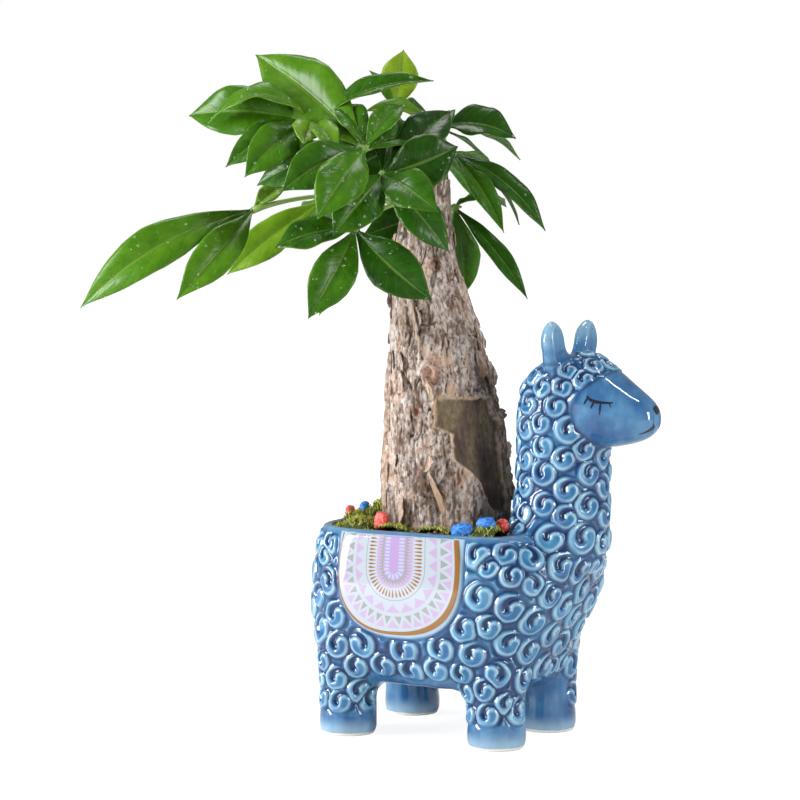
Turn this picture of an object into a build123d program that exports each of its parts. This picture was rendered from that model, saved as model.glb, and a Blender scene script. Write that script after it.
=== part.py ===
from build123d import *
from math import cos, radians, sin
import os

# A glazed pottery alpaca with a hollow back, and the money tree that is planted in it.
# X runs to the animal's nose, Y to its left and Z up. The origin is on the floor, midway between the feet.
# Lengths are in millimetres. A value or table whose name ends in SHARE or SHARES holds shares of the sizes
# that it names.

# Pot: stance
FRONT_LEG_FORWARD = 36.5  # from the origin forward to the front legs
BACK_LEG_BACK = 38.0
FRONT_LEG_PITCH = 49.0  # between the two front legs
BACK_LEG_PITCH = 57.5
FOOT_RADIUS = 12.7
LEG_RADIUS = 12.9
FOOT_HEIGHT = 2.0  # the band under each foot that stays unglazed
BELLY_HEIGHT = 24.0  # floor to the underside of the belly

# Pot: barrel of the body
BODY_LENGTH = 126.0
BODY_WIDTH = 88.0
RIM_HEIGHT = 94.5
WALL = 4.5
BASE_THICKNESS = 5.5
OPENING_FRONT = 40.0  # from the origin forward to the front of the opening, beside the neck
NECK_POST_RADIUS = 24.5  # clay that the opening leaves round the foot of the neck
CHEST_SHELF_HEIGHT = 82.0  # above it the clay closes the hollow in front of the opening
DRAIN_RADIUS = 5.0

# Pot: neck, head and ears
NECK_FORWARD = 56.5  # from the origin forward to the axis of the neck
NECK_RADIUS = 20.6
CROWN_HEIGHT = 174.0
NECK_HOLLOW_HEIGHT = 150.0
HEAD_LENGTH = 46.0  # axis of the neck to the tip of the nose
HEAD_HEIGHT = 40.0
HEAD_WIDTH = 35.0
EAR_LENGTH = 29.5
EAR_WIDTH = 15.0
EAR_THICKNESS = 11.5
EAR_SPREAD = 21.0  # between the middles of the two ear roots
EAR_FORWARD = 3.0  # from the axis of the neck forward to the ear roots
EAR_SPLAY = 16.0  # degrees that each ear leans outward

# Pot: saddle blanket, raised from the barrel, and the transfer print on it
RIM_LIP = 1.8  # smooth lip between the rim and the blanket
SADDLE_WIDTH = 62.0
SADDLE_DROP = 45.1
SADDLE_BACK = 2.2  # from the origin back to the middle of the blanket
SADDLE_RELIEF = 1.0
PRINT_MARGIN = 1.2  # blanket that shows round the print
PRINT_THICKNESS = 0.4

# Pot: curls of wool, raised from the clay
CURL_RADIUS = 4.6  # to the middle of the ridge
CURL_RIDGE = 3.2  # width of the ridge
CURL_RELIEF = 0.9
CURL_SWEEP = 285.0  # degrees of ridge in each curl
CURL_TURN = 70.0  # degrees that each curl is turned from the one before it

# Plant: soil and trunk
PLUG_CLEARANCE = 1.0  # round the root ball, so that it lifts out
SEAT_CLEARANCE = 0.3  # under the root ball
SOIL_DROP = 1.5  # rim down to the top of the soil
PLUG_TAPER = 7.0  # how much nearer the middle the root ball's side is at its foot
COLLAR_RADIUS = 22.0
COLLAR_DEPTH = 14.0  # how deep the trunk sits in the soil
TRUNK_HEIGHT = 158.0  # above the soil
TRUNK_RADIUS = 28.6
TRUNK_BACK = 2.0  # from the origin back to the foot of the trunk
TRUNK_LEAN = 13.0  # how far back the trunk leans
BARK_RELIEF = 1.2  # how far the plates of bark stand off the trunk
SHOOT_RADIUS = 4.2

# Plant: leaves
CANOPY_REACH = 100.0  # the crown's places are shares of it, from the middle of the trunk's top
LEAFLET_WIDTH = 21.0
LEAFLET_THICKNESS = 0.8
STALK_RADIUS = 1.1
LEAF_HUB_RADIUS = 2.0
LEAF_HUB_HEIGHT = 3.0
LIGHT_AZIMUTH = -59.0  # degrees from +X, the side that the leaves turn to

# Plant: what lies on the soil
MOSS_HEIGHT = 9.0
MOSS_CLEARANCE = 0.5
PEBBLE_RADIUS = 4.6

OVERRUN = 5.0  # how far every cut runs past what it cuts

# Barrel: height from the belly to the rim, then back, front, half width and corner of their half sizes.
BARREL_SHARES = [
    (0.0, 0.62, 0.60, 0.62, 0.54),
    (0.08, 0.88, 0.78, 0.86, 0.70),
    (0.255, 0.975, 0.87, 0.975, 0.76),
    (0.44, 0.985, 0.965, 1.0, 0.76),
    (0.625, 0.99, 1.06, 1.0, 0.76),
    (0.795, 0.975, 1.08, 0.985, 0.76),
    (0.92, 0.95, 1.02, 0.965, 0.76),
    (1.0, 0.92, 0.94, 0.94, 0.76),
]
# Leg: height of BELLY_HEIGHT and radius of LEG_RADIUS, above the foot.
LEG_SHARES = [(0.33, 1.01), (0.67, 1.01), (1.1, 1.06), (1.5, 1.12), (1.9, 1.0)]
# Neck: height of CROWN_HEIGHT, forward of NECK_FORWARD, then half length and half width of NECK_RADIUS.
NECK_SHARES = [
    (0.34, 0.68, 1.02, 1.22),
    (0.45, 0.85, 1.16, 1.32),
    (0.53, 0.955, 1.12, 1.15),
    (0.61, 0.99, 1.03, 1.04),
    (0.69, 1.0, 1.0, 1.0),
    (0.78, 1.0, 1.0, 0.98),
    (0.86, 1.005, 1.0, 0.96),
    (0.92, 1.03, 0.93, 0.9),
    (0.965, 1.07, 0.73, 0.74),
    (0.993, 1.12, 0.4, 0.42),
]
# Head: forward of HEAD_LENGTH from the neck's axis, drop of HEAD_HEIGHT from the crown to the middle of the
# section, then half height of HEAD_HEIGHT and half width of HEAD_WIDTH.
HEAD_SHARES = [
    (-0.12, 0.47, 0.33, 0.36),
    (0.1, 0.47, 0.46, 0.485),
    (0.35, 0.52, 0.515, 0.495),
    (0.58, 0.615, 0.42, 0.435),
    (0.78, 0.675, 0.30, 0.33),
    (0.92, 0.70, 0.2, 0.23),
    (0.985, 0.70, 0.10, 0.125),
]
# Ear: height of EAR_LENGTH, then width and thickness of the ear's own.
EAR_SHARES = [
    (0.0, 0.8, 0.9),
    (0.25, 1.0, 1.0),
    (0.55, 0.94, 0.84),
    (0.8, 0.66, 0.6),
    (0.95, 0.36, 0.34),
    (1.0, 0.16, 0.16),
]
# Saddle blanket: half its outline, out from its middle line and down from its top.
SADDLE_SHARES = [(0.93, 0.0), (1.0, 0.3), (0.98, 0.56), (0.78, 0.83), (0.42, 0.965), (0.0, 1.0)]
# Curls: where level lines leave the middle plane, as shares of half BODY_LENGTH and of CROWN_HEIGHT, then the
# lines' directions in degrees from +X. The clay that a line meets carries a curl.
CURL_SHARES = [
    (-0.45, 0.195, (112, 157)),
    (-0.45, 0.331, (134, 180)),
    (-0.45, 0.470, (112, 157)),
    (-0.20, 0.195, (90,)),
    (0.24, 0.195, (90,)),
    (0.48, 0.195, (70, 25)),
    (0.48, 0.331, (47, 0)),
    (0.48, 0.470, (75, 30)),
    (0.90, 0.592, (0, 60, 115)),
    (0.90, 0.700, (30, 90, 150)),
    (0.90, 0.810, (60, 120, 180)),
    (0.90, 0.920, (95, 150)),
]

# Trunk: height, lean and radius.
TRUNK_SHARES = [
    (0.0, 0.0, 1.0),
    (0.06, 0.0, 1.0),
    (0.12, 0.0, 0.995),
    (0.2, 0.05, 0.975),
    (0.28, 0.13, 0.93),
    (0.4, 0.27, 0.86),
    (0.51, 0.44, 0.77),
    (0.61, 0.63, 0.67),
    (0.7, 0.88, 0.56),
    (0.82, 1.0, 0.46),
    (0.91, 0.9, 0.39),
    (1.0, 0.8, 0.335),
]
# Plates of bark: direction in degrees from +X, foot and top of TRUNK_HEIGHT, then width of TRUNK_RADIUS.
BARK_SHARES = [
    (-150, 0.12, 0.30, 0.55),
    (-112, 0.16, 0.38, 0.50),
    (-76, 0.11, 0.27, 0.45),
    (-72, 0.44, 0.58, 0.50),
    (-28, 0.42, 0.55, 0.45),
    (20, 0.13, 0.33, 0.55),
    (62, 0.18, 0.40, 0.50),
    (105, 0.12, 0.29, 0.50),
    (148, 0.17, 0.38, 0.55),
    (-132, 0.42, 0.60, 0.45),
    (-105, 0.64, 0.76, 0.35),
    (-50, 0.60, 0.74, 0.35),
    (12, 0.58, 0.72, 0.40),
    (70, 0.45, 0.62, 0.45),
    (125, 0.43, 0.60, 0.45),
    (172, 0.52, 0.70, 0.40),
]
# Shoots: where the foot and the tip are in the crown.
SHOOT_SHARES = {
    "shoot_left": ((-0.045, -0.02, 0), (-0.12, -0.02, 0.26)),
    "shoot_right": ((0.045, 0.02, 0), (0.03, 0.03, 0.32)),
}
SHOOT_TIP_SHARE = 0.7
STALK_RISE_SHARE = 0.08
# One blade: half its outline, out along it and across it.
LEAFLET_BASE_SHARES = (0.0, 0.06)
LEAFLET_WIDEST_SHARES = (0.56, 0.5)
# Each compound leaf: where its stalk starts, its hub, then its leaflets as a tip, a width of LEAFLET_WIDTH,
# an arch of the leaflet's own length, and how far its face turns from the sky to the light.
LEAF_SHARES = {
    "leaf_top_left": (
        (-0.09, -0.02, 0.16),
        (-0.35, -0.42, 0.25),
        [
            ((-0.64, -0.36, 0.55), 1.8, -0.06, 0.9),
            ((-0.77, -0.64, 0.25), 0.8, 0.28, 0.35),
            ((-0.95, -0.54, 0.29), 1.0, 0.08, 0.8),
            ((-0.65, -0.68, 0.05), 0.75, 0.12, 0.5),
            ((0.16, -0.24, 0.43), 0.85, 0.12, 0.4),
            ((-0.27, -0.63, 0.14), 0.6, 0.1, 0.8),
        ],
    ),
    "leaf_front_left": (
        (-0.074, -0.02, 0.1),
        (-0.04, -0.49, 0.12),
        [
            ((-0.28, -0.79, -0.07), 0.9, 0.12, 0.7),
            ((-0.07, -0.83, -0.19), 1.0, 0.1, 0.85),
            ((-0.56, -0.57, -0.03), 0.9, 0.08, 0.6),
            ((0.12, -0.21, 0.17), 0.7, 0.12, 0.3),
        ],
    ),
    "leaf_front": (
        (-0.045, -0.04, 0.03),
        (0.03, -0.46, 0.01),
        [
            ((0.32, -0.30, 0.13), 1.05, 0.1, 0.9),
            ((-0.03, -0.77, -0.26), 0.95, 0.1, 0.85),
            ((0.36, -0.54, -0.16), 0.95, 0.12, 0.7),
            ((0.31, -0.36, -0.33), 0.85, 0.1, 0.8),
        ],
    ),
    "leaf_low_front": (
        (-0.02, -0.08, -0.1),
        (-0.09, -0.49, -0.23),
        [
            ((-0.17, -0.75, -0.62), 0.9, 0.1, 0.9),
            ((0.27, -0.44, -0.54), 1.0, 0.08, 0.9),
            ((-0.26, -0.52, -0.61), 0.7, 0.08, 0.6),
            ((-0.36, -0.72, -0.31), 0.8, 0.1, 0.5),
        ],
    ),
    "leaf_far_left": (
        (-0.08, -0.05, -0.12),
        (-0.64, -0.48, -0.14),
        [
            ((-1.23, -0.99, -0.58), 1.05, 0.2, 0.7),
            ((-0.77, -0.89, -0.54), 0.95, 0.1, 0.8),
            ((-0.58, -0.32, -0.03), 0.55, 0.1, 0.6),
        ],
    ),
    "leaf_low_back_left": (
        (-0.1, 0.03, -0.14),
        (-0.46, -0.17, -0.09),
        [
            ((-0.81, -0.44, -0.43), 0.9, 0.08, 0.7),
            ((-0.66, -0.12, -0.26), 0.6, 0.08, 0.5),
            ((-0.74, 0.22, -0.28), 0.9, 0.12, 0.0),
        ],
    ),
    "leaf_right": (
        (0.02, 0.06, -0.02),
        (0.06, 0.12, 0.12),
        [
            ((0.40, -0.02, -0.24), 0.65, 0.08, 0.5),
            ((0.50, 0.19, -0.23), 0.85, 0.12, 0.4),
            ((0.31, 0.3, -0.2), 0.7, 0.1, 0.1),
            ((-0.03, 0.42, 0.0), 0.6, 0.1, 0.0),
        ],
    ),
    "leaf_low_right": (
        (0.0, 0.09, -0.16),
        (0.02, 0.2, -0.12),
        [
            ((0.39, 0.23, -0.54), 0.75, 0.06, 0.5),
            ((0.0, 0.33, -0.53), 0.8, 0.08, 0.4),
            ((0.11, 0.54, -0.11), 0.8, 0.1, 0.0),
            ((-0.28, 0.5, -0.38), 0.85, 0.12, 0.0),
        ],
    ),
    "leaf_top_right": (
        (0.04, 0.025, 0.14),
        (-0.03, 0.12, 0.24),
        [
            ((0.33, 0.22, 0.19), 0.8, 0.16, 0.25),
            ((-0.23, -0.18, 0.31), 0.55, 0.14, 0.35),
            ((0.14, 0.36, 0.03), 0.6, 0.1, 0.2),
            ((0.19, 0.53, 0.11), 0.6, 0.1, 0.1),
        ],
    ),
    "leaf_top": (
        (-0.1, -0.02, 0.2),
        (-0.25, 0.09, 0.32),
        [
            ((-0.17, 0.06, 0.6), 0.85, -0.08, 0.9),
            ((-0.27, -0.07, 0.5), 0.4, 0.05, 0.5),
            ((-0.13, 0.2, 0.32), 0.5, 0.15, 0.4),
        ],
    ),
    "leaf_back": (
        (0.04, 0.03, 0.08),
        (-0.16, 0.4, 0.14),
        [
            ((-0.85, 0.6, 0.07), 0.95, 0.1, 0.0),
            ((-0.62, 0.88, -0.03), 1.0, 0.12, 0.0),
            ((-0.25, 0.88, -0.06), 1.0, 0.12, 0.0),
            ((-0.03, 0.64, 0.04), 0.8, 0.12, 0.0),
        ],
    ),
    "leaf_back_left": (
        (-0.06, -0.015, 0.05),
        (-0.45, 0.22, 0.1),
        [
            ((-1.0, 0.2, 0.06), 0.95, 0.12, 0.0),
            ((-0.86, 0.5, -0.08), 1.0, 0.14, 0.0),
            ((-0.68, 0.12, 0.42), 0.85, 0.1, 0.2),
        ],
    ),
}
# Moss cushions: place in the opening as shares of its half length and half width from its middle, then radius
# at the soil and height of MOSS_HEIGHT.
MOSS_SHARES = [
    (-0.82, -0.22, 0.85, 0.62),
    (-0.68, 0.24, 1.2, 1.1),
    (-0.55, -0.7, 1.0, 0.5),
    (-0.12, -0.92, 1.0, 0.35),
    (0.36, -0.95, 1.0, 0.35),
    (0.84, -0.7, 0.9, 0.55),
    (0.3, 0.95, 1.2, 0.5),
    (-0.3, 0.9, 1.2, 0.6),
    (0.85, 0.66, 1.1, 0.7),
]
# Pebbles: place in the opening, height over the soil of MOSS_HEIGHT, then length, width and height of
# PEBBLE_RADIUS.
RED_SHARES = [
    (-0.9, -0.25, 0.66, 0.5, 0.5, 0.52),
    (-0.27, -0.82, 0.5, 0.76, 0.72, 0.9),
    (0.94, -0.55, 0.5, 0.75, 0.55, 0.65),
    (-0.7, 0.62, 0.34, 0.8, 0.7, 0.7),
    (0.1, 0.9, 0.34, 0.8, 0.62, 0.7),
]
BLUE_SHARES = [
    (0.62, -0.85, 0.3, 1.15, 0.8, 0.8),
    (0.84, -0.74, 0.62, 0.92, 0.75, 0.8),
    (-0.92, 0.14, 0.66, 0.55, 0.6, 0.62),
    (0.62, 0.82, 0.4, 0.9, 0.8, 0.8),
    (-0.5, 0.8, 0.35, 0.7, 0.7, 0.7),
]


def barrel(grow):
    """The barrel with each level outline moved outward by grow, and run on upward if it is drawn in."""
    rise = RIM_HEIGHT - BELLY_HEIGHT
    with BuildPart() as shape:
        for height, back, front, half_width, corner in BARREL_SHARES:
            x_back = -back * BODY_LENGTH / 2 - grow
            x_front = front * BODY_LENGTH / 2 + grow
            width = half_width * BODY_WIDTH + 2 * grow
            with BuildSketch(Plane.XY.offset(BELLY_HEIGHT + height * rise)):
                with Locations(((x_back + x_front) / 2, 0)):
                    RectangleRounded(x_front - x_back, width, corner * BODY_WIDTH / 2 + grow)
        loft()
        if grow < 0:
            extrude(shape.faces().sort_by(Axis.Z)[-1], amount=OVERRUN)
    return shape.part


def neck(shrink, top):
    """Chest, neck and back of the head up to top, drawn in by shrink."""
    with BuildPart() as shape:
        for height, forward, half_length, half_width in NECK_SHARES:
            if height * CROWN_HEIGHT > top:
                break
            with BuildSketch(Plane.XY.offset(height * CROWN_HEIGHT)):
                with Locations((forward * NECK_FORWARD, 0)):
                    Ellipse(half_length * NECK_RADIUS - shrink, half_width * NECK_RADIUS - shrink)
        loft()
    return shape.part


def head():
    """Face and muzzle, through sections that stand square to the nose."""
    with BuildPart() as shape:
        for forward, drop, half_height, half_width in HEAD_SHARES:
            with BuildSketch(Plane.YZ.offset(NECK_FORWARD + forward * HEAD_LENGTH)):
                with Locations((0, CROWN_HEIGHT - drop * HEAD_HEIGHT)):
                    Ellipse(half_width * HEAD_WIDTH, half_height * HEAD_HEIGHT)
        loft()
    return shape.part


def ear(side):
    """One ear, splayed to its side."""
    root = Plane((NECK_FORWARD + EAR_FORWARD, side * EAR_SPREAD / 2, CROWN_HEIGHT - EAR_LENGTH / 2))
    root = root.rotated((-side * EAR_SPLAY, 0, 0))
    with BuildPart() as shape:
        for height, width, thickness in EAR_SHARES:
            with BuildSketch(root.offset(height * EAR_LENGTH)):
                Ellipse(thickness * EAR_THICKNESS / 2, width * EAR_WIDTH / 2)
        loft()
    return shape.part


def leg(x, y):
    """One leg, from an unglazed foot up into the barrel."""
    levels = [(0.0, FOOT_RADIUS - FOOT_HEIGHT / 2), (FOOT_HEIGHT, FOOT_RADIUS)]
    levels += [(height * BELLY_HEIGHT, radius * LEG_RADIUS) for height, radius in LEG_SHARES]
    with BuildPart() as shape:
        for height, radius in levels:
            with BuildSketch(Plane.XY.offset(height)):
                with Locations((x, y)):
                    Circle(radius)
        loft()
    return shape.part


def saddle_outline(margin):
    """A tongue that hangs from under the rim's lip, with its edge drawn in by margin."""
    half_width = SADDLE_WIDTH / 2 - margin
    drop = SADDLE_DROP - margin
    points = [(out * half_width, -down * drop) for out, down in SADDLE_SHARES]
    top = (-SADDLE_BACK, 0, RIM_HEIGHT - RIM_LIP)
    with BuildSketch(Plane(top, x_dir=(1, 0, 0), z_dir=(0, -1, 0))) as outline:
        with BuildLine() as edge:
            Spline(*points)
            mirror(about=Plane.YZ)
            Line(edge.vertices().sort_by(Axis.X)[0], edge.vertices().sort_by(Axis.X)[-1])
        make_face()
    return outline.sketch


def blanket(low, high, margin):
    """A skin on both flanks between two growths of the barrel, cut to the saddle's outline."""
    with BuildPart() as skin:
        add(barrel(high))
        add(barrel(low), mode=Mode.SUBTRACT)
        extrude(saddle_outline(margin), amount=BODY_WIDTH, both=True, mode=Mode.INTERSECT)
    return skin.part


def curl(solid, middle, direction, turn):
    """A broken ring of raised clay, flat on the solid where a level line from middle leaves it."""
    line = Axis(middle, (cos(radians(direction)), sin(radians(direction)), 0))
    hits = solid.find_intersection_points(line)
    place, normal = max(hits, key=lambda hit: (hit[0] - line.position).dot(line.direction))
    with BuildPart(Plane(place + normal * (CURL_RELIEF - CURL_RIDGE / 2), z_dir=normal)) as ridge:
        with Locations(Location((0, 0, 0), (0, 0, turn))):
            Torus(CURL_RADIUS, CURL_RIDGE / 2, major_angle=CURL_SWEEP)
    return ridge.part


def wool():
    """The main curls, each off the middle plane with a mirrored twin."""
    with BuildPart() as torso:
        add(barrel(0))
        add(neck(0, CROWN_HEIGHT))
    curls = []
    for forward, height, directions in CURL_SHARES:
        middle = (forward * BODY_LENGTH / 2, 0, height * CROWN_HEIGHT)
        for direction in directions:
            turn = len(curls) * CURL_TURN
            curls.append(curl(torso.part, middle, direction, turn))
            if direction not in (0, 180):
                curls.append(curl(torso.part, middle, -direction, -turn))
    return curls


def hollow():
    """The space inside the barrel, with clay left above the chest shelf in front of the opening."""
    floor = BELLY_HEIGHT + BASE_THICKNESS
    with BuildPart() as space:
        add(barrel(-WALL))
        with BuildSketch(Plane.XY.offset(floor)):
            Rectangle(2 * BODY_LENGTH, 2 * BODY_WIDTH)
        extrude(amount=-BELLY_HEIGHT, mode=Mode.SUBTRACT)
        with BuildSketch(Plane.XY.offset(CHEST_SHELF_HEIGHT)):
            with Locations((OPENING_FRONT, 0)):
                Rectangle(BODY_LENGTH, 2 * BODY_WIDTH, align=(Align.MIN, Align.CENTER))
            with Locations((NECK_FORWARD, 0)):
                Circle(NECK_POST_RADIUS)
        extrude(amount=RIM_HEIGHT, mode=Mode.SUBTRACT)
    return space.part


def pot():
    """The clay: barrel, legs, neck, head, ears, raised blanket and curls, hollowed out and drained."""
    with BuildPart() as clay:
        add(barrel(0))
        add(neck(0, CROWN_HEIGHT))
        add(head())
        for side in (-1, 1):
            add(ear(side))
            add(leg(FRONT_LEG_FORWARD, side * FRONT_LEG_PITCH / 2))
            add(leg(-BACK_LEG_BACK, side * BACK_LEG_PITCH / 2))
        add(blanket(0, SADDLE_RELIEF, 0))
        add(wool())
        add(hollow(), mode=Mode.SUBTRACT)
        add(neck(WALL, NECK_HOLLOW_HEIGHT), mode=Mode.SUBTRACT)
        with BuildSketch(Plane.XY.offset(BELLY_HEIGHT - OVERRUN)):
            Circle(DRAIN_RADIUS)
        extrude(amount=BASE_THICKNESS + 2 * OVERRUN, mode=Mode.SUBTRACT)
    return clay.part


def opening_outline(height, inset):
    """The plan of the opening in the back, drawn in by inset, as a sketch at height."""
    _, back, front, half_width, corner = BARREL_SHARES[-1]
    x_back = WALL + inset - back * BODY_LENGTH / 2
    x_front = front * BODY_LENGTH / 2 - WALL - inset
    width = half_width * BODY_WIDTH - 2 * (WALL + inset)
    with BuildSketch(Plane.XY.offset(height)) as plan:
        with Locations(((x_back + x_front) / 2, 0)):
            RectangleRounded(x_front - x_back, width, corner * BODY_WIDTH / 2 - WALL - inset)
        with Locations((OPENING_FRONT - inset, 0)):
            Rectangle(BODY_LENGTH, BODY_WIDTH, align=(Align.MIN, Align.CENTER), mode=Mode.SUBTRACT)
        with Locations((NECK_FORWARD, 0)):
            Circle(NECK_POST_RADIUS + inset, mode=Mode.SUBTRACT)
    return plan.sketch


def opening_spot(x_share, y_share):
    """A place in the opening, given as shares of its half length and half width from its middle."""
    _, back, _, half_width, _ = BARREL_SHARES[-1]
    x_back = WALL - back * BODY_LENGTH / 2
    middle = (x_back + OPENING_FRONT) / 2
    return middle + x_share * (OPENING_FRONT - middle), y_share * (half_width * BODY_WIDTH / 2 - WALL)


def root_ball():
    """Soil held by roots, which narrows to its foot and has a socket for the trunk's collar."""
    soil = RIM_HEIGHT - SOIL_DROP
    foot = BELLY_HEIGHT + BASE_THICKNESS + SEAT_CLEARANCE
    with BuildPart() as ball:
        add(opening_outline(foot, PLUG_CLEARANCE + PLUG_TAPER))
        add(opening_outline(soil, PLUG_CLEARANCE))
        loft()
        with BuildSketch(Plane((-TRUNK_BACK, 0, soil - COLLAR_DEPTH))):
            Circle(COLLAR_RADIUS)
        extrude(amount=COLLAR_DEPTH + OVERRUN, mode=Mode.SUBTRACT)
    return ball.part


def trunk_wood(grow):
    """The swollen trunk above the soil, thicker by grow all round."""
    soil = RIM_HEIGHT - SOIL_DROP
    with BuildPart() as wood:
        for height, lean, radius in TRUNK_SHARES:
            with BuildSketch(Plane.XY.offset(soil + height * TRUNK_HEIGHT)):
                with Locations((-TRUNK_BACK - lean * TRUNK_LEAN, 0)):
                    Circle(radius * TRUNK_RADIUS + grow)
        loft()
    return wood.part


def bark():
    """The plates of bark, each a block cut to a thicker trunk."""
    soil = RIM_HEIGHT - SOIL_DROP
    with BuildPart() as plates:
        for direction, foot, top, width in BARK_SHARES:
            with BuildSketch(Plane((-TRUNK_BACK, 0, soil + foot * TRUNK_HEIGHT)).rotated((0, 0, direction))):
                Rectangle(2 * TRUNK_RADIUS, width * TRUNK_RADIUS, align=(Align.MIN, Align.CENTER))
            extrude(amount=(top - foot) * TRUNK_HEIGHT)
        add(trunk_wood(BARK_RELIEF), mode=Mode.INTERSECT)
    return plates.part


def trunk():
    """The trunk with its plates of bark and its collar in the soil."""
    soil = RIM_HEIGHT - SOIL_DROP
    with BuildPart() as wood:
        add(trunk_wood(0))
        add(bark())
        with BuildSketch(Plane((-TRUNK_BACK, 0, soil - COLLAR_DEPTH))):
            Circle(COLLAR_RADIUS)
        extrude(amount=COLLAR_DEPTH)
    return wood.part


def crown(place):
    """A place in the crown, given as shares of its reach from the middle of the trunk's top."""
    lean = TRUNK_SHARES[-1][1] * TRUNK_LEAN
    top = Vector(-TRUNK_BACK - lean, 0, RIM_HEIGHT - SOIL_DROP + TRUNK_HEIGHT)
    return top + Vector(*place) * CANOPY_REACH


def shoot(foot_place, tip_place):
    """A green shoot that rises from the top of the trunk."""
    with BuildPart() as stem:
        with BuildSketch(Plane(crown(foot_place))):
            Circle(SHOOT_RADIUS)
        with BuildSketch(Plane(crown(tip_place))):
            Circle(SHOOT_RADIUS * SHOOT_TIP_SHARE)
        loft()
    return stem.part


def leaflet(hub, tip, width, arch, facing):
    """One blade: a thin arched strip from hub to tip, cut to a pointed oval."""
    length = (tip - hub).length
    along = (tip - hub).normalized()
    light = Vector(cos(radians(LIGHT_AZIMUTH)), sin(radians(LIGHT_AZIMUTH)), 0)
    face = Vector(0, 0, 1) * (1 - facing) + light * facing
    face = (face - along * face.dot(along)).normalized()
    low, high = arch * length, arch * length + LEAFLET_THICKNESS
    base = (LEAFLET_BASE_SHARES[0] * length, LEAFLET_BASE_SHARES[1] * width)
    widest = (LEAFLET_WIDEST_SHARES[0] * length, LEAFLET_WIDEST_SHARES[1] * width)
    with BuildPart() as blade:
        with BuildSketch(Plane(hub, x_dir=along, z_dir=along.cross(face))):
            with BuildLine():
                ThreePointArc((0, 0), (length / 2, low), (length, 0))
                Line((length, 0), (length, LEAFLET_THICKNESS))
                ThreePointArc((length, LEAFLET_THICKNESS), (length / 2, high), (0, LEAFLET_THICKNESS))
                Line((0, LEAFLET_THICKNESS), (0, 0))
            make_face()
        extrude(amount=width, both=True)
        with BuildSketch(Plane(hub, x_dir=along, z_dir=face)):
            with BuildLine():
                ThreePointArc(base, widest, (length, 0))
                mirror(about=Plane.XZ)
                Line(base, (base[0], -base[1]))
            make_face()
        extrude(amount=length, both=True, mode=Mode.INTERSECT)
    return blade.part


def leaf(stalk_place, hub_place, leaflets, wood):
    """A compound leaf: a stalk cut to the wood it grows from, its hub and the leaflets spread from it."""
    start, hub = crown(stalk_place), crown(hub_place)
    rise = Vector(0, 0, STALK_RISE_SHARE * (hub - start).length)
    with BuildPart() as whole:
        with BuildLine() as path:
            ThreePointArc(start, (start + hub) / 2 + rise, hub)
        with BuildSketch(Plane(start, z_dir=path.line % 0)):
            Circle(STALK_RADIUS)
        sweep(path=path.line)
        add(wood, mode=Mode.SUBTRACT)
        with Locations(hub):
            Cylinder(LEAF_HUB_RADIUS, LEAF_HUB_HEIGHT)
        for tip, width, arch, facing in leaflets:
            add(leaflet(hub, crown(tip), width * LEAFLET_WIDTH, arch, facing))
    return whole.part


def wood_of_crown():
    """Trunk and shoots together, which the stalks butt against."""
    with BuildPart() as wood:
        add(trunk_wood(0))
        for foot_place, tip_place in SHOOT_SHARES.values():
            add(shoot(foot_place, tip_place))
    return wood.part


def pebble(shares):
    """One rounded stone, about its own middle."""
    with BuildPart() as stone:
        Sphere(PEBBLE_RADIUS)
        scale(by=tuple(shares))
    return stone.part


def pebbles(table):
    """The stones of one colour, each a solid of its own, cut level with the soil."""
    soil = RIM_HEIGHT - SOIL_DROP
    with BuildPart() as stones:
        for x_share, y_share, lift, *shares in table:
            with Locations((*opening_spot(x_share, y_share), soil + lift * MOSS_HEIGHT)):
                add(pebble(shares))
        with BuildSketch(Plane.XY.offset(soil)):
            Rectangle(2 * BODY_LENGTH, 2 * BODY_WIDTH)
        extrude(amount=-BODY_WIDTH, mode=Mode.SUBTRACT)
    return stones.part


def moss():
    """Cushions of moss on the soil, clear of the clay and the trunk, with a round pocket for each stone."""
    soil = RIM_HEIGHT - SOIL_DROP
    with BuildPart() as cushions:
        for x_share, y_share, radius_share, height_share in MOSS_SHARES:
            radius, height = radius_share * MOSS_HEIGHT, height_share * MOSS_HEIGHT
            dome = (radius**2 + height**2) / (2 * height)
            with Locations((*opening_spot(x_share, y_share), soil + height - dome)):
                Sphere(dome)
        extrude(opening_outline(soil, PLUG_CLEARANCE), amount=2 * MOSS_HEIGHT, mode=Mode.INTERSECT)
        with BuildSketch(Plane.XY.offset(soil - OVERRUN)):
            with Locations((-TRUNK_BACK, 0)):
                Circle(TRUNK_RADIUS + MOSS_CLEARANCE)
            for x_share, y_share, _, length, width, _ in RED_SHARES + BLUE_SHARES:
                with Locations(opening_spot(x_share, y_share)):
                    Circle(max(length, width) * PEBBLE_RADIUS + MOSS_CLEARANCE)
        extrude(amount=2 * MOSS_HEIGHT + OVERRUN, mode=Mode.SUBTRACT)
    return cushions.part


prints = blanket(SADDLE_RELIEF, SADDLE_RELIEF + PRINT_THICKNESS, PRINT_MARGIN).solids().sort_by(Axis.Y)
pieces = {
    "planter_body": pot(),
    "saddle_print_right": prints[0],
    "saddle_print_left": prints[-1],
    "root_ball": root_ball(),
    "trunk": trunk(),
    "moss": moss(),
    "red_pebbles": pebbles(RED_SHARES),
    "blue_pebbles": pebbles(BLUE_SHARES),
}
for name, (foot_place, tip_place) in SHOOT_SHARES.items():
    pieces[name] = shoot(foot_place, tip_place)
wood = wood_of_crown()
for name, (stalk_place, hub_place, leaflets) in LEAF_SHARES.items():
    pieces[name] = leaf(stalk_place, hub_place, leaflets, wood)

os.makedirs("parts", exist_ok=True)
for name, solid in pieces.items():
    solid.label = name
    export_step(solid, f"parts/{name}.step")
    print(name, round(solid.volume, 1), solid.is_valid, len(solid.solids()))
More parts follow.
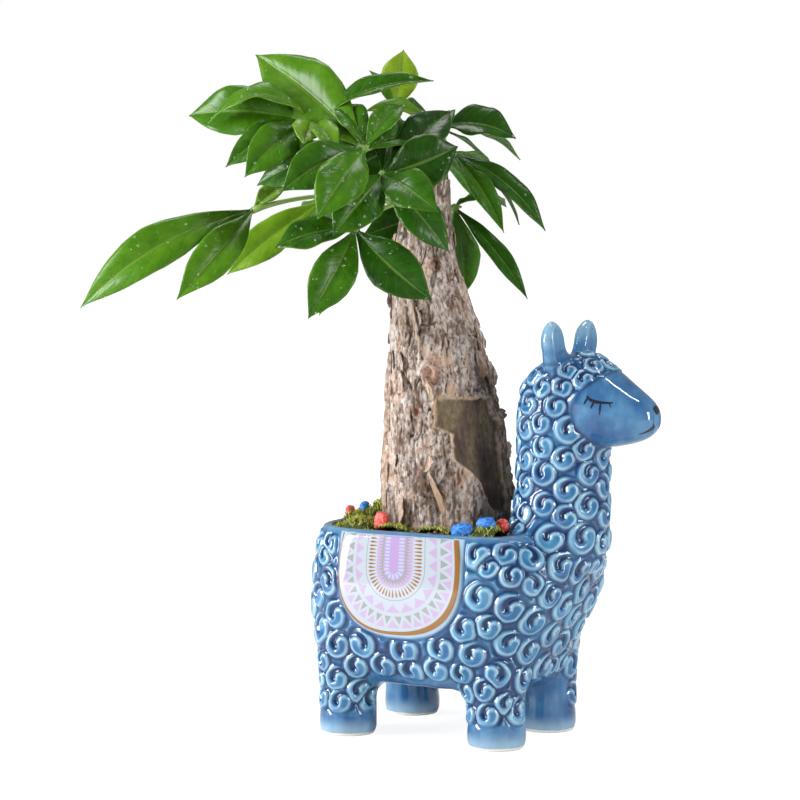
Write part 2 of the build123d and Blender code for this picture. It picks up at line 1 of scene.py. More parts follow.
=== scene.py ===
# %% [markdown]
# # A glazed alpaca pot with a money tree in it
# This lesson dresses a CAD model of a pottery planter. The CAD gives every size. Each cell below takes one piece of the
# real object, says what it is made of, and builds the shape and the finish that a camera would see.

import math
import random

import bpy
import bmesh
import numpy as np
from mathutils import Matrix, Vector
from mathutils.bvhtree import BVHTree


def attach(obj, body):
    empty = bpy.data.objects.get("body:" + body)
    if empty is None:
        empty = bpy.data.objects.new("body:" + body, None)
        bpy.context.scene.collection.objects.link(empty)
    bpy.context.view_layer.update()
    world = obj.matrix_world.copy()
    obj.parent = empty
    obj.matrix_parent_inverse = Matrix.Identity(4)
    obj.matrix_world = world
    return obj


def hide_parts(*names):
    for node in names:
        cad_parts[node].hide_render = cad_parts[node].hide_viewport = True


MM = 0.001
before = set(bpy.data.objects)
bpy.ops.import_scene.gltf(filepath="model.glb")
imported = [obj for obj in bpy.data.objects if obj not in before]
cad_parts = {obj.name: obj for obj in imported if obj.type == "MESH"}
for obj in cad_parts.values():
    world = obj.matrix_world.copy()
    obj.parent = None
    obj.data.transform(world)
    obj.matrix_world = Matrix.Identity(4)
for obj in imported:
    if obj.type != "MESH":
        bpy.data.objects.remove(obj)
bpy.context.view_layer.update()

# %% [markdown]
# ## Camera first
# A product shot like this one is taken with a long lens from a little above the belly, so the legs hardly converge.
# A 108 mm lens on a 36 mm sensor, about 1.1 m away, gives the same view.

# %% The camera
CAMERA_PLACE, CAMERA_AIM = (0.53717, -0.94758, 0.21381), (-0.0277, 0.0, 0.1502)


def put(name, data):
    """Stands a new object in the scene."""
    made = bpy.data.objects.new(name, data)
    bpy.context.collection.objects.link(made)
    return made


def point_at(thing, place, aim):
    """Moves a camera or a lamp to place and turns it toward aim."""
    thing.location = place
    thing.rotation_euler = (Vector(aim) - Vector(place)).to_track_quat("-Z", "Y").to_euler()


lens = bpy.data.cameras.new("camera")
lens.lens, lens.sensor_width, lens.clip_end = 108, 36, 50
camera = put("camera", lens)
point_at(camera, CAMERA_PLACE, CAMERA_AIM)
bpy.context.scene.camera = camera

# %% [markdown]
# ## Writing materials as sums
# Node trees get long when every product and difference is placed by hand. This small class wraps one socket, so that
# `1 - mask` or `a * b + c` in Python adds the Math nodes. Colours must not go through Math nodes, which would turn
# them grey, so they are blended with a Mix node instead.

# %% A wrapped socket
class Flow:
    """A value that flows through a material."""

    def __init__(self, finish, socket):
        self.finish, self.socket = finish, socket

    def maths(self, operation, *values):
        return self.finish.node("ShaderNodeMath", {"operation": operation}, dict(enumerate(values)))

    def __add__(self, other):
        return self.maths("ADD", self, other)

    def __sub__(self, other):
        return self.maths("SUBTRACT", self, other)

    def __rsub__(self, other):
        return self.maths("SUBTRACT", other, self)

    def __mul__(self, other):
        return self.maths("MULTIPLY", self, other)

    def __truediv__(self, other):
        return self.maths("DIVIDE", self, other)

    def __pow__(self, other):
        return self.maths("POWER", self, other)

    def __mod__(self, other):
        return self.maths("FLOORED_MODULO", self, other)

    def __abs__(self):
        return self.maths("ABSOLUTE", self)

    def most(self, other):
        return self.maths("MAXIMUM", self, other)

    def rise(self, low, high):
        """0 below low, 1 above high and smooth between."""
        sockets = {0: self, 1: low, 2: high, 3: 0.0, 4: 1.0}
        return self.finish.node("ShaderNodeMapRange", {"interpolation_type": "SMOOTHSTEP"}, sockets)

    __radd__ = __add__
    __rmul__ = __mul__


# %% A finish
class Finish:
    """One material, with a node maker and the few patterns that every finish here uses."""

    def __init__(self, name):
        self.material = bpy.data.materials.new(name)
        self.material.use_nodes = True
        self.tree = self.material.node_tree
        self.shader = self.tree.nodes["Principled BSDF"]

    def node(self, kind, settings=None, sockets=None, output=0):
        made = self.tree.nodes.new(kind)
        for name, setting in (settings or {}).items():
            if name == "stops":
                ramp = made.color_ramp
                while len(ramp.elements) < len(setting):
                    ramp.elements.new(1.0)
                for element, (place, colour) in zip(ramp.elements, setting):
                    element.position, element.color = place, (*colour, 1)
            else:
                setattr(made, name, setting)
        for key, value in (sockets or {}).items():
            if isinstance(value, Flow):
                self.tree.links.new(value.socket, made.inputs[key])
            else:
                made.inputs[key].default_value = value
        return Flow(self, made.outputs[output])

    def painted(self, name):
        """A value that was stored on the mesh's points."""
        return self.node("ShaderNodeAttribute", {"attribute_name": name}, output=2)

    def place(self, squash=(1, 1, 1)):
        """Where a point is on the object, in metres, squashed before a pattern reads it."""
        here = self.node("ShaderNodeTexCoord", output=3)
        return self.node("ShaderNodeVectorMath", {"operation": "MULTIPLY"}, {0: here, 1: squash})

    def noise(self, size, detail=3.0, squash=(1, 1, 1)):
        """Cloudy values near 0.5, with lumps about size across."""
        sockets = {"Vector": self.place(squash), "Scale": 1 / size, "Detail": detail}
        return self.node("ShaderNodeTexNoise", {}, sockets)

    def blend(self, amount, low, high):
        """A colour between low and high."""
        sockets = {0: amount, 6: low, 7: high}
        sockets = {k: (*v, 1) if isinstance(v, tuple) else v for k, v in sockets.items()}
        return self.node("ShaderNodeMix", {"data_type": "RGBA"}, sockets, output=2)

    def over(self, colour, *layers):
        """The colour with more laid over it in turn, each layer as far as its amount says."""
        for amount, tint in layers:
            colour = self.blend(amount, colour, tint)
        return colour

    def ramp(self, amount, *stops):
        """A colour read from stops, each a place from 0 to 1 and the colour there."""
        return self.node("ShaderNodeValToRGB", {"stops": stops}, {0: amount})

    def bump(self, height, distance, strength):
        return self.node("ShaderNodeBump", {}, {"Height": height, "Distance": distance, "Strength": strength})

    def coat(self, **values):
        """Sets the shader's sockets, named as on the node with _ for a space."""
        for name, value in values.items():
            socket = self.shader.inputs[name.replace("_", " ")]
            if isinstance(value, Flow):
                self.tree.links.new(value.socket, socket)
            elif isinstance(value, tuple):
                socket.default_value = (*value, 1)
            else:
                socket.default_value = value


# %% [markdown]
# ## Noise on points
# Clay, bark and moss need real relief, because a bump map never changes an outline. NumPy can work on every point of
# a mesh at once, so lumpy values are read from a small random block and smoothed between its cells.

# %% Lumps, steps and smoothing
def lumps(places, size, seed):
    """Smooth values from -1 to 1 at places, with lumps about size across."""
    block = np.random.default_rng(seed).uniform(-1, 1, (32, 32, 32))
    spot = np.asarray(places) / np.asarray(size) + 1000
    cell = np.floor(spot).astype(int)
    part = spot - cell
    part = part * part * (3 - 2 * part)
    value = np.zeros(len(spot))
    for corner in np.ndindex(2, 2, 2):
        weight = np.prod(np.where(corner, part, 1 - part), axis=1)
        x, y, z = ((cell + corner) % 32).T
        value += weight * block[x, y, z]
    return value


def step(values, low, high):
    """0 below low, 1 above high and smooth between, or the other way round where low is the larger."""
    share = np.clip((np.asarray(values, float) - low) / (high - low), 0, 1)
    return share * share * (3 - 2 * share)


def relax(places, edges, weight, rounds):
    """Moves each place toward the middle of its neighbours, as far as its weight lets it."""
    near = np.bincount(edges.ravel(), minlength=len(places))
    for _ in range(rounds):
        total = np.zeros_like(places)
        for k in range(3):
            total[:, k] = np.bincount(edges[:, 0], places[edges[:, 1], k], len(places))
            total[:, k] += np.bincount(edges[:, 1], places[edges[:, 0], k], len(places))
        places = places + 0.6 * weight[:, None] * (total / near[:, None] - places)
    return places


# %% Reading and writing meshes
def points_of(mesh):
    places = np.empty(len(mesh.vertices) * 3)
    mesh.vertices.foreach_get("co", places)
    return places.reshape(-1, 3)


def normals_of(mesh):
    normals = np.empty(len(mesh.vertices) * 3)
    mesh.vertex_normals.foreach_get("vector", normals)
    return normals.reshape(-1, 3)


def set_points(mesh, places):
    mesh.vertices.foreach_set("co", np.asarray(places, np.float32).ravel())
    mesh.update()


def paint(mesh, name, values):
    layer = mesh.attributes.new(name, "FLOAT", "POINT")
    layer.data.foreach_set("value", np.asarray(values, np.float32))


def even_copy(node, name, voxel):
    """A CAD node's surface as one fine, even mesh that can take relief."""
    copy = put(name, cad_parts[node].data.copy())
    remesh = copy.modifiers.new("even", "REMESH")
    remesh.mode, remesh.voxel_size = "VOXEL", voxel
    even = bpy.data.meshes.new_from_object(copy.evaluated_get(bpy.context.evaluated_depsgraph_get()))
    copy.modifiers.clear()
    copy.data = even
    even.materials.clear()
    print(name, "points:", len(even.vertices))
    return copy


def settle(piece, body, slot, finish, *nodes):
    """Gives a piece its finish, its body and the CAD nodes that it stands for."""
    piece.data.materials.append(finish.material)
    piece.data.shade_smooth()
    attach(piece, body)
    if nodes:
        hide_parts(*nodes)


# %% Heaps, grids and tubes
class Heap:
    """Strips, tubes and stones that become one mesh."""

    def __init__(self):
        self.places, self.faces, self.values = [], [], {}

    def add(self, places, faces, **values):
        """Adds one shape, with the values to paint on its points."""
        start = len(self.places)
        self.places += [tuple(p) for p in places]
        self.faces += [tuple(start + i for i in face) for face in faces]
        for name, value in values.items():
            value = np.broadcast_to(np.asarray(value, float), len(places)).tolist()
            self.values.setdefault(name, []).extend([0.0] * (start - len(self.values.get(name, []))) + value)

    def mesh(self, name):
        mesh = bpy.data.meshes.new(name)
        mesh.from_pydata(self.places, [], self.faces)
        for key, value in self.values.items():
            paint(mesh, key, value + [0.0] * (len(self.places) - len(value)))
        return mesh

    def piece(self, name):
        print(name, "faces:", len(self.faces))
        return put(name, self.mesh(name))


def grid_faces(rows, columns, closed=False):
    """Quads between the rows of a grid of places, joined round if closed."""
    wide = columns if closed else columns - 1
    return [
        (r * columns + c, r * columns + (c + 1) % columns, (r + 1) * columns + (c + 1) % columns, (r + 1) * columns + c)
        for r in range(rows - 1)
        for c in range(wide)
    ]


def tube(path, radii, sides):
    """Places and faces of a tube through path, with both ends closed."""
    path = [Vector(p) for p in path]
    places = []
    across = (path[1] - path[0]).orthogonal().normalized()
    for i, middle in enumerate(path):
        ahead = (path[min(i + 1, len(path) - 1)] - path[max(i - 1, 0)]).normalized()
        across = (across - ahead * across.dot(ahead)).normalized()
        other = ahead.cross(across)
        for k in range(sides):
            turn = 2 * math.pi * k / sides
            places.append(middle + (across * math.cos(turn) + other * math.sin(turn)) * radii[i])
    faces = grid_faces(len(path), sides, closed=True)
    faces += [tuple(range(sides))[::-1], tuple(range(len(places) - sides, len(places)))]
    return places, faces


# %% [markdown]
# ## The clay body
# The real pot is slip-cast in a plaster mould: one skin of clay with soft creases, covered in raised curls of wool.
# A voxel remesh turns the CAD surface into an even net of points about 0.65 mm apart. Some rounds of smoothing, only
# where two forms meet and along the rim, then give the soft creases and edges that a mould has. A bevel could not do
# that, because most of these forms meet in curves with no single edge.

# %% Soft creases
POT_VOXEL = 0.65
CREASE_ROUNDS, CROTCH_ROUNDS, EVEN_ROUNDS = 60, 240, 3
NECK_FORWARD = 56.5
LEGS, LEG_RADIUS = [(36.5, 24.5), (-38.0, 28.75)], 13.5
pot = even_copy("planter_body", "pot", POT_VOXEL * MM)
clay = points_of(pot.data) / MM
links = np.empty(len(pot.data.edges) * 2, int)
pot.data.edges.foreach_get("vertices", links)
links = links.reshape(-1, 2)


def near(places, middle, reach, fade):
    """1 within reach of middle, fading to 0 over fade."""
    return step(np.linalg.norm(places - np.asarray(middle), axis=1), reach + fade, reach)


x, y, z = clay.T
from_neck = np.hypot(x - NECK_FORWARD, y)
neck_root = step(z, 84, 91) * step(z, 113, 104) * step(from_neck, 40, 33)
chest_fold = step(z, 44, 52) * step(z, 92, 84) * step(x, 40, 50) * 0.6
leg_tops = step(z, 12, 20) * step(z, 46, 36)
crotch = np.zeros(len(clay))
for leg_x, leg_y in LEGS:
    from_leg = np.hypot(x - leg_x, np.abs(y) - leg_y)
    crotch = np.maximum(crotch, step(np.abs(from_leg - LEG_RADIUS), 9, 5) * step(np.abs(z - 25), 11, 6))
throat = near(clay, (76, 0, 128), 13, 9)
cheeks = near(clay, (62, 0, 150), 24, 6) * step(np.abs(y), 9, 13) * step(z, 166, 160) * 0.5
ear_roots = np.maximum(near(clay, (60, 13, 171), 6, 4), near(clay, (60, -13, 171), 6, 4)) * 0.5
rim = step(z, 89.5, 91.5) * step(z, 102, 99) * step(from_neck, 28, 32) * 0.3
soft = np.clip(neck_root + chest_fold + leg_tops + throat + ear_roots + cheeks + rim, 0, 1)
clay = relax(clay, links, soft, CREASE_ROUNDS)
clay = relax(clay, links, crotch, CROTCH_ROUNDS)
clay = relax(clay, links, np.ones(len(clay)), EVEN_ROUNDS)

# %% [markdown]
# ## Where the wool is
# Curls cover the barrel, chest, neck and the back of the head. The face, the ears, a lip under the rim, the saddle
# blankets, the feet, the inner sides of the legs and the belly between them are smooth, and so is everything inside.
# Each of those rules is a mask from 0 to 1 on the points, and the wool is their product. Painting the masks by hand
# would work too, but a rule can be changed by one number.

# %% Which points are outside
SPINE_BACK, SPINE_FRONT, SPINE_HEIGHT = -32, 34, 60.0
set_points(pot.data, clay * MM)
out = normals_of(pot.data)
x, y, z = clay.T
spine = np.stack([np.clip(x, SPINE_BACK, SPINE_FRONT), np.zeros(len(x)), np.full(len(x), SPINE_HEIGHT)], 1)
outside = (((clay - spine) * out).sum(1) > 0) | (z < 22)
neck_out = (x - NECK_FORWARD) * out[:, 0] + y * out[:, 1] > -2
outside = np.where(z > 96, neck_out | (z > 158), outside)
print("share of the clay that faces out:", round(float(outside.mean()), 2))

# %% Masks on the clay
HAIRLINE = ([128, 134, 141, 150, 158, 163, 170, 175], [87, 75.5, 69, 67.5, 72, 77.5, 87, 93])
EAR_LEAN, EAR_LENGTH, EAR_REACH = math.radians(16), 29.5, 10
EAR_FORWARD, EAR_ASIDE, EAR_HEIGHT = 59.5, 10.5, 159.25
face = step(x - np.interp(z, *HAIRLINE), -0.6, 1.4) * step(z, 124, 128)
ear_up = np.array([0, math.sin(EAR_LEAN), math.cos(EAR_LEAN)])
ear_place = np.stack([x - EAR_FORWARD, np.abs(y) - EAR_ASIDE, z - EAR_HEIGHT], 1)
ear_along = ear_place @ ear_up
ear_side = ear_place @ np.array([0, math.cos(EAR_LEAN), -math.sin(EAR_LEAN)])
from_ear_axis = np.hypot(ear_place[:, 0], ear_side)
ears = step(ear_along, 10.5, 13.0) * step(from_ear_axis, EAR_REACH + 2, EAR_REACH)
poll = step(z, 167, 170) * step(x, 66, 60)
lip = step(z, 91.3, 92.8) * step(z, 99.5, 97.5) * step(from_neck, 24.5, 27)
feet = step(z, 13.0, 9.5)
inner_legs = step(-np.sign(y) * out[:, 1], 0.05, 0.45) * step(z, 44, 36)
under = step(-out[:, 2], 0.55, 0.8) * step(z, 34, 28)


BLANKET_MIDDLE, BLANKET_HALF, BLANKET_TOP, BLANKET_DROP = -2.2, 32.2, 92.7, 45.1
BLANKET_STRAIGHT, BLANKET_ROUND = 14.5, 2.5  # length of the straight sides, and how square the U below them is
FLANK = 25  # the blankets lie further out than this


def saddle_reach(x, z):
    """How far out a place on the flank is: 1 on the blanket's edge and less inside it."""
    down = np.maximum(BLANKET_TOP - z - BLANKET_STRAIGHT, 0) / (BLANKET_DROP - BLANKET_STRAIGHT)
    along_flank = np.abs((x - BLANKET_MIDDLE) / BLANKET_HALF)
    return (along_flank**BLANKET_ROUND + down**BLANKET_ROUND) ** (1 / BLANKET_ROUND)


blanket = step(saddle_reach(x, z), 1.07, 1.035) * (np.abs(y) > FLANK) * (z < 97)
wool = outside * (1 - face) * (1 - ears) * (1 - poll) * (1 - lip) * (1 - feet) * (1 - inner_legs)
wool *= (1 - under) * (1 - blanket)
print("share of the clay under wool:", round(float((wool > 0.5).mean()), 2))
WOOL_ROUNDS = 55  # melt the CAD's main curls, which come back finer below
clay = relax(clay, links, wool, WOOL_ROUNDS)
set_points(pot.data, clay * MM)
out = normals_of(pot.data)
x, y, z = clay.T

# %% [markdown]
# ## Placing the curls
# The CAD has the main curls, 20 to 28 mm apart, and the modeller filled the gaps between them as tightly as coins.
# Each further centre goes on the wool point that lies farthest from all the others, and then moves a few times to the
# middle of the points that are nearest to it, while the main ones stay put. Random centres would leave holes and
# crowds, which the real wool has not.

# %% The main curls
HALF_LENGTH, CROWN_HEIGHT, FAR_OUT = 63, 174, 90
MAIN_CURLS = [  # forward share of HALF_LENGTH, height share of CROWN_HEIGHT, ways out in degrees
    (-0.45, 0.195, (112, 157)),
    (-0.45, 0.331, (134, 180)),
    (-0.45, 0.470, (112, 157)),
    (-0.20, 0.195, (90,)),
    (0.24, 0.195, (90,)),
    (0.48, 0.195, (70, 25)),
    (0.48, 0.331, (47, 0)),
    (0.48, 0.470, (75, 30)),
    (0.90, 0.592, (0, 60, 115)),
    (0.90, 0.700, (30, 90, 150)),
    (0.90, 0.810, (60, 120, 180)),
    (0.90, 0.920, (95, 150)),
]
body_tree = BVHTree.FromPolygons([tuple(p) for p in clay], [p.vertices[:] for p in pot.data.polygons])
main = []
for forward, height, ways in MAIN_CURLS:
    for way in ways:
        for side in (1,) if way in (0, 180) else (1, -1):
            away = Vector((math.cos(math.radians(way)), side * math.sin(math.radians(way)), 0))
            start = Vector((forward * HALF_LENGTH, 0, height * CROWN_HEIGHT)) + away * FAR_OUT
            main.append(body_tree.ray_cast(start, -away)[0][:])
print("main curls:", len(main))

# %% All curl centres
SPACING = ([20, 40, 80, 110], [9.3, 10.6, 10.4, 8.9])  # heights and the spacing there
SETTLE_ROUNDS = 5
fleece = np.flatnonzero(wool > 0.6)[::4]
ground = clay[fleece]
middles = list(np.array(main))
spacing = np.interp(ground[:, 2], *SPACING)
distance = np.min([np.linalg.norm(ground - spot, axis=1) for spot in middles], axis=0) / spacing
while distance.max() > 1:
    middles.append(ground[distance.argmax()])
    distance = np.minimum(distance, np.linalg.norm(ground - middles[-1], axis=1) / spacing)
middles = np.array(middles)


def nearest(places, targets, count):
    """The indices of the count nearest targets to each place, and how far they are."""
    found, gaps = [], []
    for start in range(0, len(places), 4000):
        gap = np.linalg.norm(places[start : start + 4000, None] - targets[None], axis=2)
        order = np.argpartition(gap, count, axis=1)[:, :count]
        found.append(order)
        gaps.append(np.take_along_axis(gap, order, 1))
    return np.concatenate(found), np.concatenate(gaps)


for _ in range(SETTLE_ROUNDS):
    owner = nearest(ground, middles, 1)[0][:, 0]
    members = np.bincount(owner, minlength=len(middles))[:, None].clip(1)
    moved = np.stack([np.bincount(owner, ground[:, k], len(middles)) for k in range(3)], 1) / members
    middles[len(main) :] = moved[len(main) :]
spots = nearest(middles, ground, 1)[0][:, 0]
middles, facing = ground[spots], out[fleece][spots]
print("curls:", len(middles))

# %% [markdown]
# ## The shape of one curl
# Each curl is a breaking wave: a fat round tail that swings under and rises into a head, with one deep groove that
# comes in from outside, hooks over the head and ends near the middle. So a curl is a disc, cut by a groove whose
# distance from the middle shrinks with the turn. For every clay point the script works out how far inside its own disc
# it is and how far from the groove, and keeps the smaller of the two. Just outside a disc is a seam, and past that the
# clay rises again to meet its neighbours.

# %% How each curl lies
rng = np.random.default_rng(11)
turns = math.radians(2) + rng.normal(0, 0.30, len(middles))
hand = np.where(middles[:, 1] <= 0, 1.0, -1.0) * np.where(rng.uniform(size=len(middles)) < 0.10, -1, 1)
close = np.sort(nearest(middles, middles, 4)[1], axis=1)
radius = np.clip(0.52 * close[:, 1:4].mean(1), 4.4, 7.0) * rng.uniform(0.94, 1.08, len(middles))
upward = np.array([0, 0, 1.0]) - facing * facing[:, 2:3]
upward /= np.linalg.norm(upward, axis=1, keepdims=True) + 1e-9
rightward = np.cross(upward, facing)
print("radii of the curls from", round(float(radius.min()), 1), "to", round(float(radius.max()), 1), "mm")

# %% The groove of a curl
GROOVE = [  # degrees round the curl, then the groove's distance from the middle and half its width, in radii
    (-25, 1.25, 0.05), (5, 1.14, 0.08), (30, 1.04, 0.10), (55, 0.87, 0.11), (80, 0.63, 0.12), (105, 0.45, 0.135),
    (135, 0.32, 0.15), (170, 0.23, 0.16), (205, 0.19, 0.15),
]
groove_turn, groove_reach, groove_half = np.array(GROOVE).T


def groove_gap(across, rise, start):
    """Distance to the rim of a curl's groove, and how far along it, with lengths in radii of the curl."""
    fine = np.linspace(groove_turn[0], groove_turn[-1], 36)
    reach, half = np.interp(fine, groove_turn, groove_reach), np.interp(fine, groove_turn, groove_half)
    best, along_groove = np.full(len(across), 9.0), np.zeros(len(across))
    for k, angle in enumerate(np.radians(fine)):
        gap = np.hypot(across - reach[k] * np.cos(start + angle), rise - reach[k] * np.sin(start + angle)) - half[k]
        along_groove = np.where(gap < best, k / (len(fine) - 1), along_groove)
        best = np.minimum(best, gap)
    return best, along_groove


# %% Every point in its curl
woolly = np.flatnonzero(wool > 0.01)
owners, gaps = nearest(clay[woolly], middles, 3)
order = np.argsort(gaps / radius[owners], axis=1)
owners, gaps = np.take_along_axis(owners, order, 1), np.take_along_axis(gaps, order, 1)
share = gaps / radius[owners]
own = owners[:, 0]
offset = clay[woolly] - middles[own]
across_curl = (offset * rightward[own]).sum(1) * hand[own] / radius[own]
rise_curl = (offset * upward[own]).sum(1) / radius[own]
cut, along_groove = groove_gap(across_curl, rise_curl, turns[own])
cut = np.where(np.abs((offset * facing[own]).sum(1)) > 6, 1.0, cut)
wavy = 0.05 * lumps(clay[woolly], 3.4, 15)
to_seam = np.minimum(1.02 + wavy - share[:, 0], (share[:, 1] - share[:, 0]) * 0.6 - 0.01 + wavy)
inside = np.minimum(to_seam, cut)
bending = np.hypot(across_curl, rise_curl)
is_head = (np.arctan2(rise_curl, across_curl) - turns[own]) % (2 * math.pi)
is_head = bending < np.interp(np.degrees((is_head + 0.5) % (2 * math.pi) - 0.5), groove_turn, groove_reach)
print("points in curls:", len(woolly))

# %% The wool's relief, and where its glaze pools or runs thin
CURL_HEIGHT, SEAM_DEPTH = 1.45, 0.75
disc = step(inside, -0.10, 0.24)
crest = 0.80 + 0.45 * (1 - np.minimum(share[:, 0], 1) ** 2) - 0.12 * step(inside, 0.22, 0.5)
web = step(to_seam, -0.10, -0.42) * 0.55
curl_height = np.maximum(disc * crest, web * (cut > 0.05))
pooled = 0.78 + 0.45 * lumps(clay[woolly], 7.0, 16)
seam_dark = (1 - step(to_seam, -0.04, 0.13) - 0.5 * step(to_seam, -0.10, -0.34)) * pooled
cut_dark = (1 - step(cut, -0.06, 0.16)) * (0.55 + 0.45 * step(along_groove, 0.2, 0.7)) * (to_seam > -0.12)
patchy = 0.75 + 0.4 * lumps(clay[woolly], 5.0, 17)
pale = np.exp(-(((to_seam - 0.20) / 0.13) ** 2)) * step(cut, 0.0, 0.15) * patchy
pale = np.maximum(pale, 0.8 * np.exp(-(((cut - 0.16) / 0.11) ** 2)) * is_head * step(to_seam, 0.0, 0.1))


def over_clay(values):
    """Values on the woolly points, with 0 on the rest of the clay."""
    full = np.zeros(len(clay))
    full[woolly] = values
    return full


soft_wool = relax(np.repeat(wool[:, None], 3, 1), links, np.ones(len(clay)), 40)[:, 0]
height_share = np.interp(z, [95, 125], [1.0, 0.8])
relief = wool * CURL_HEIGHT * height_share * over_clay(curl_height) - SEAM_DEPTH * np.minimum(soft_wool, wool + 0.6)
print("clay relief from", round(float(relief.min()), 2), "to", round(float(relief.max()), 2), "mm")

# %% [markdown]
# ## Ears, feet and the rest of the relief
# Each ear is scooped out in front like a spoon, and is widened toward its tip, so that the tip is round. Hand finishing
# leaves everything else very slightly uneven. All of it moves the points that are there, because a cut through the net
# would leave ragged faces. The feet are pressed flat on the ground again at the end.

# %% Final clay surface
EAR_SHAPE = ([0.4, 0.55, 0.8, 1.0], [7.3, 7.0, 5.0, 1.2])  # shares of its length and half its width there
EAR_SCOOP, EAR_WIDEN = 1.6, 0.32
on_ear = from_ear_axis < EAR_REACH
half_ear = np.interp(ear_along / EAR_LENGTH, *EAR_SHAPE)
scoop = step(out[:, 0], 0.05, 0.5) * step(ear_along, 12.5, 16) * step(ear_along, 29, 25)
scoop *= np.clip(1 - (ear_side / (0.74 * half_ear)) ** 2, 0, 1) * on_ear
uneven = 0.18 * lumps(clay, 9.0, 3) + 0.05 * lumps(clay, 3.0, 4)
clay_done = clay + out * (relief + outside * uneven * (1 - blanket))[:, None]
clay_done[:, 0] -= EAR_SCOOP * scoop
blunt = EAR_WIDEN * step(ear_along, 15, 26) * on_ear
from_axis = ear_place - ear_along[:, None] * ear_up
from_axis[:, 1] *= np.sign(y)
clay_done += blunt[:, None] * from_axis
clay_done[:, 2] = np.maximum(clay_done[:, 2], 0)
clay_done[clay[:, 2] < 0.4, 2] = 0
clay_done = relax(clay_done, links, np.where(clay[:, 2] < 1, 0.0, 0.5), 1)
set_points(pot.data, clay_done * MM)

# %% What the glaze reads
smooth_clay = relax(clay_done, links, np.ones(len(clay)), 14)
edge = ((clay_done - smooth_clay) * normals_of(pot.data)).sum(1)
paint(pot.data, "dark", over_clay(np.maximum(seam_dark.clip(0, 1) * 0.85, cut_dark)) * wool)
paint(pot.data, "pale", over_clay(pale) * wool)
paint(pot.data, "wool", wool)
# Painted shade: the smooth glaze next to the wool on the head is painted darker, as the shade under the wool's raised
# edge.
paint(pot.data, "hairline", soft_wool * (z > 122) * (1 - wool))
paint(pot.data, "edge", np.clip(edge / 0.5, -1, 1) * 0.5 + 0.5)
paint(pot.data, "blanket", step(saddle_reach(x, z), 1.01, 0.97) * (np.abs(y) > FLANK) * (z < 93.2))
print("colour reads the relief from", round(float(edge.min()), 2), "to", round(float(edge.max()), 2), "mm")

# %% [markdown]
# ## Reactive blue glaze
# The potter dipped the pot in one blue glaze. Where it lies thin, on ridges and edges, the white clay shines through
# and it turns pale. Where it pools, in the grooves, it is almost navy. So the colour comes from the relief itself: the
# seams and grooves are painted dark, the rims beside them pale, and the rest by how far a point stands out of its
# surroundings. Glaze is glass, so it is very glossy.

# %% The glaze
glaze = Finish("blue reactive glaze")
NAVY, PALE, CHALKY = (0.003, 0.020, 0.088), (0.42, 0.64, 0.73), (0.42, 0.56, 0.67)
THIN_ON_EDGES, THIN_ON_FEET, BARE_CLAY = (0.20, 0.37, 0.50), (0.42, 0.60, 0.70), (0.76, 0.73, 0.66)
wool_share, edge_share = glaze.painted("wool"), glaze.painted("edge")
cloud, streak = glaze.noise(17 * MM, 4.0), glaze.noise(5 * MM, 5.0, (1, 1, 0.22))
wool_colour = glaze.over(
    glaze.ramp(
        cloud + (streak - 0.5) * 0.35,
        (0.30, (0.008, 0.066, 0.205)),
        (0.50, (0.024, 0.142, 0.315)),
        (0.72, (0.080, 0.260, 0.430)),
    ),
    (glaze.painted("pale").rise(0.05, 1.1) * (streak * 0.5 + 0.45), PALE),
    (glaze.painted("dark").rise(0.05, 0.95) * 0.94, NAVY),
)
up = glaze.node("ShaderNodeSeparateXYZ", {}, {0: glaze.place()}, output=2)
rim_edge = up.rise(0.0915, 0.0950) * (1 - up.rise(0.0975, 0.1050))
ear_tips = up.rise(0.174, 0.186)
plain_colour = glaze.over(
    glaze.ramp(
        cloud + (streak - 0.5) * 0.5,
        (0.30, (0.016, 0.072, 0.200)),
        (0.50, (0.036, 0.134, 0.292)),
        (0.72, (0.092, 0.236, 0.402)),
    ),
    # painted shade along the hairline
    (glaze.painted("hairline").rise(0.02, 0.5) * 0.75, NAVY),
    (ear_tips * 0.55 + rim_edge * 0.45, THIN_ON_EDGES),
)
foot_line = up + (glaze.noise(7 * MM) - 0.5) * 0.0012
bare = 1 - foot_line.rise(0.0010, 0.0015)
body_colour = glaze.over(
    plain_colour,
    (wool_share.rise(0.15, 0.7), wool_colour),
    (edge_share.rise(0.62, 0.97) * 0.35, PALE),
    ((1 - edge_share.rise(0.16, 0.46)) * 0.8, NAVY),
    (glaze.painted("blanket") * 0.75, CHALKY),
    ((1 - foot_line.rise(0.0014, 0.0090)) * 0.55, THIN_ON_FEET),
    (bare, BARE_CLAY),
)
glaze.coat(
    Base_Color=body_colour,
    Roughness=bare * 0.5 + cloud * 0.05 + 0.035,
    IOR=1.5,
    Coat_Weight=(1 - bare) * 0.25,
    Coat_Roughness=0.03,
    Normal=glaze.bump(glaze.noise(2.6 * MM, 2.0), 0.06 * MM, 0.35),
)
settle(pot, "planter", "blue_glaze", glaze, "planter_body")
clay_tree = BVHTree.FromPolygons([tuple(p) for p in clay_done * MM], [p.vertices[:] for p in pot.data.polygons])

# %% [markdown]
# ## The saddle blanket's print
# A water-slide transfer lies on each raised blanket: rings of triangles, a ring of gold drops and a lilac middle, all
# hanging as a U from the rim. Each place on it has a ring, its distance in mm from the U's spine, and a turn and a drop
# that say how far round the U it is. With those three painted on the mesh, the shader can draw any row of the pattern
# sharply with a little arithmetic.

# %% A place on the clay
def on_clay(place, way, lift, missed=None):
    """Where a ray from a place in mm meets the clay, or the clay nearest to missed, raised by lift mm."""
    hit, normal, _, _ = clay_tree.ray_cast(Vector(place) * MM, Vector(way))
    if hit is None:
        hit, normal, _, _ = clay_tree.find_nearest(Vector(missed) * MM)
    return hit + normal * lift * MM


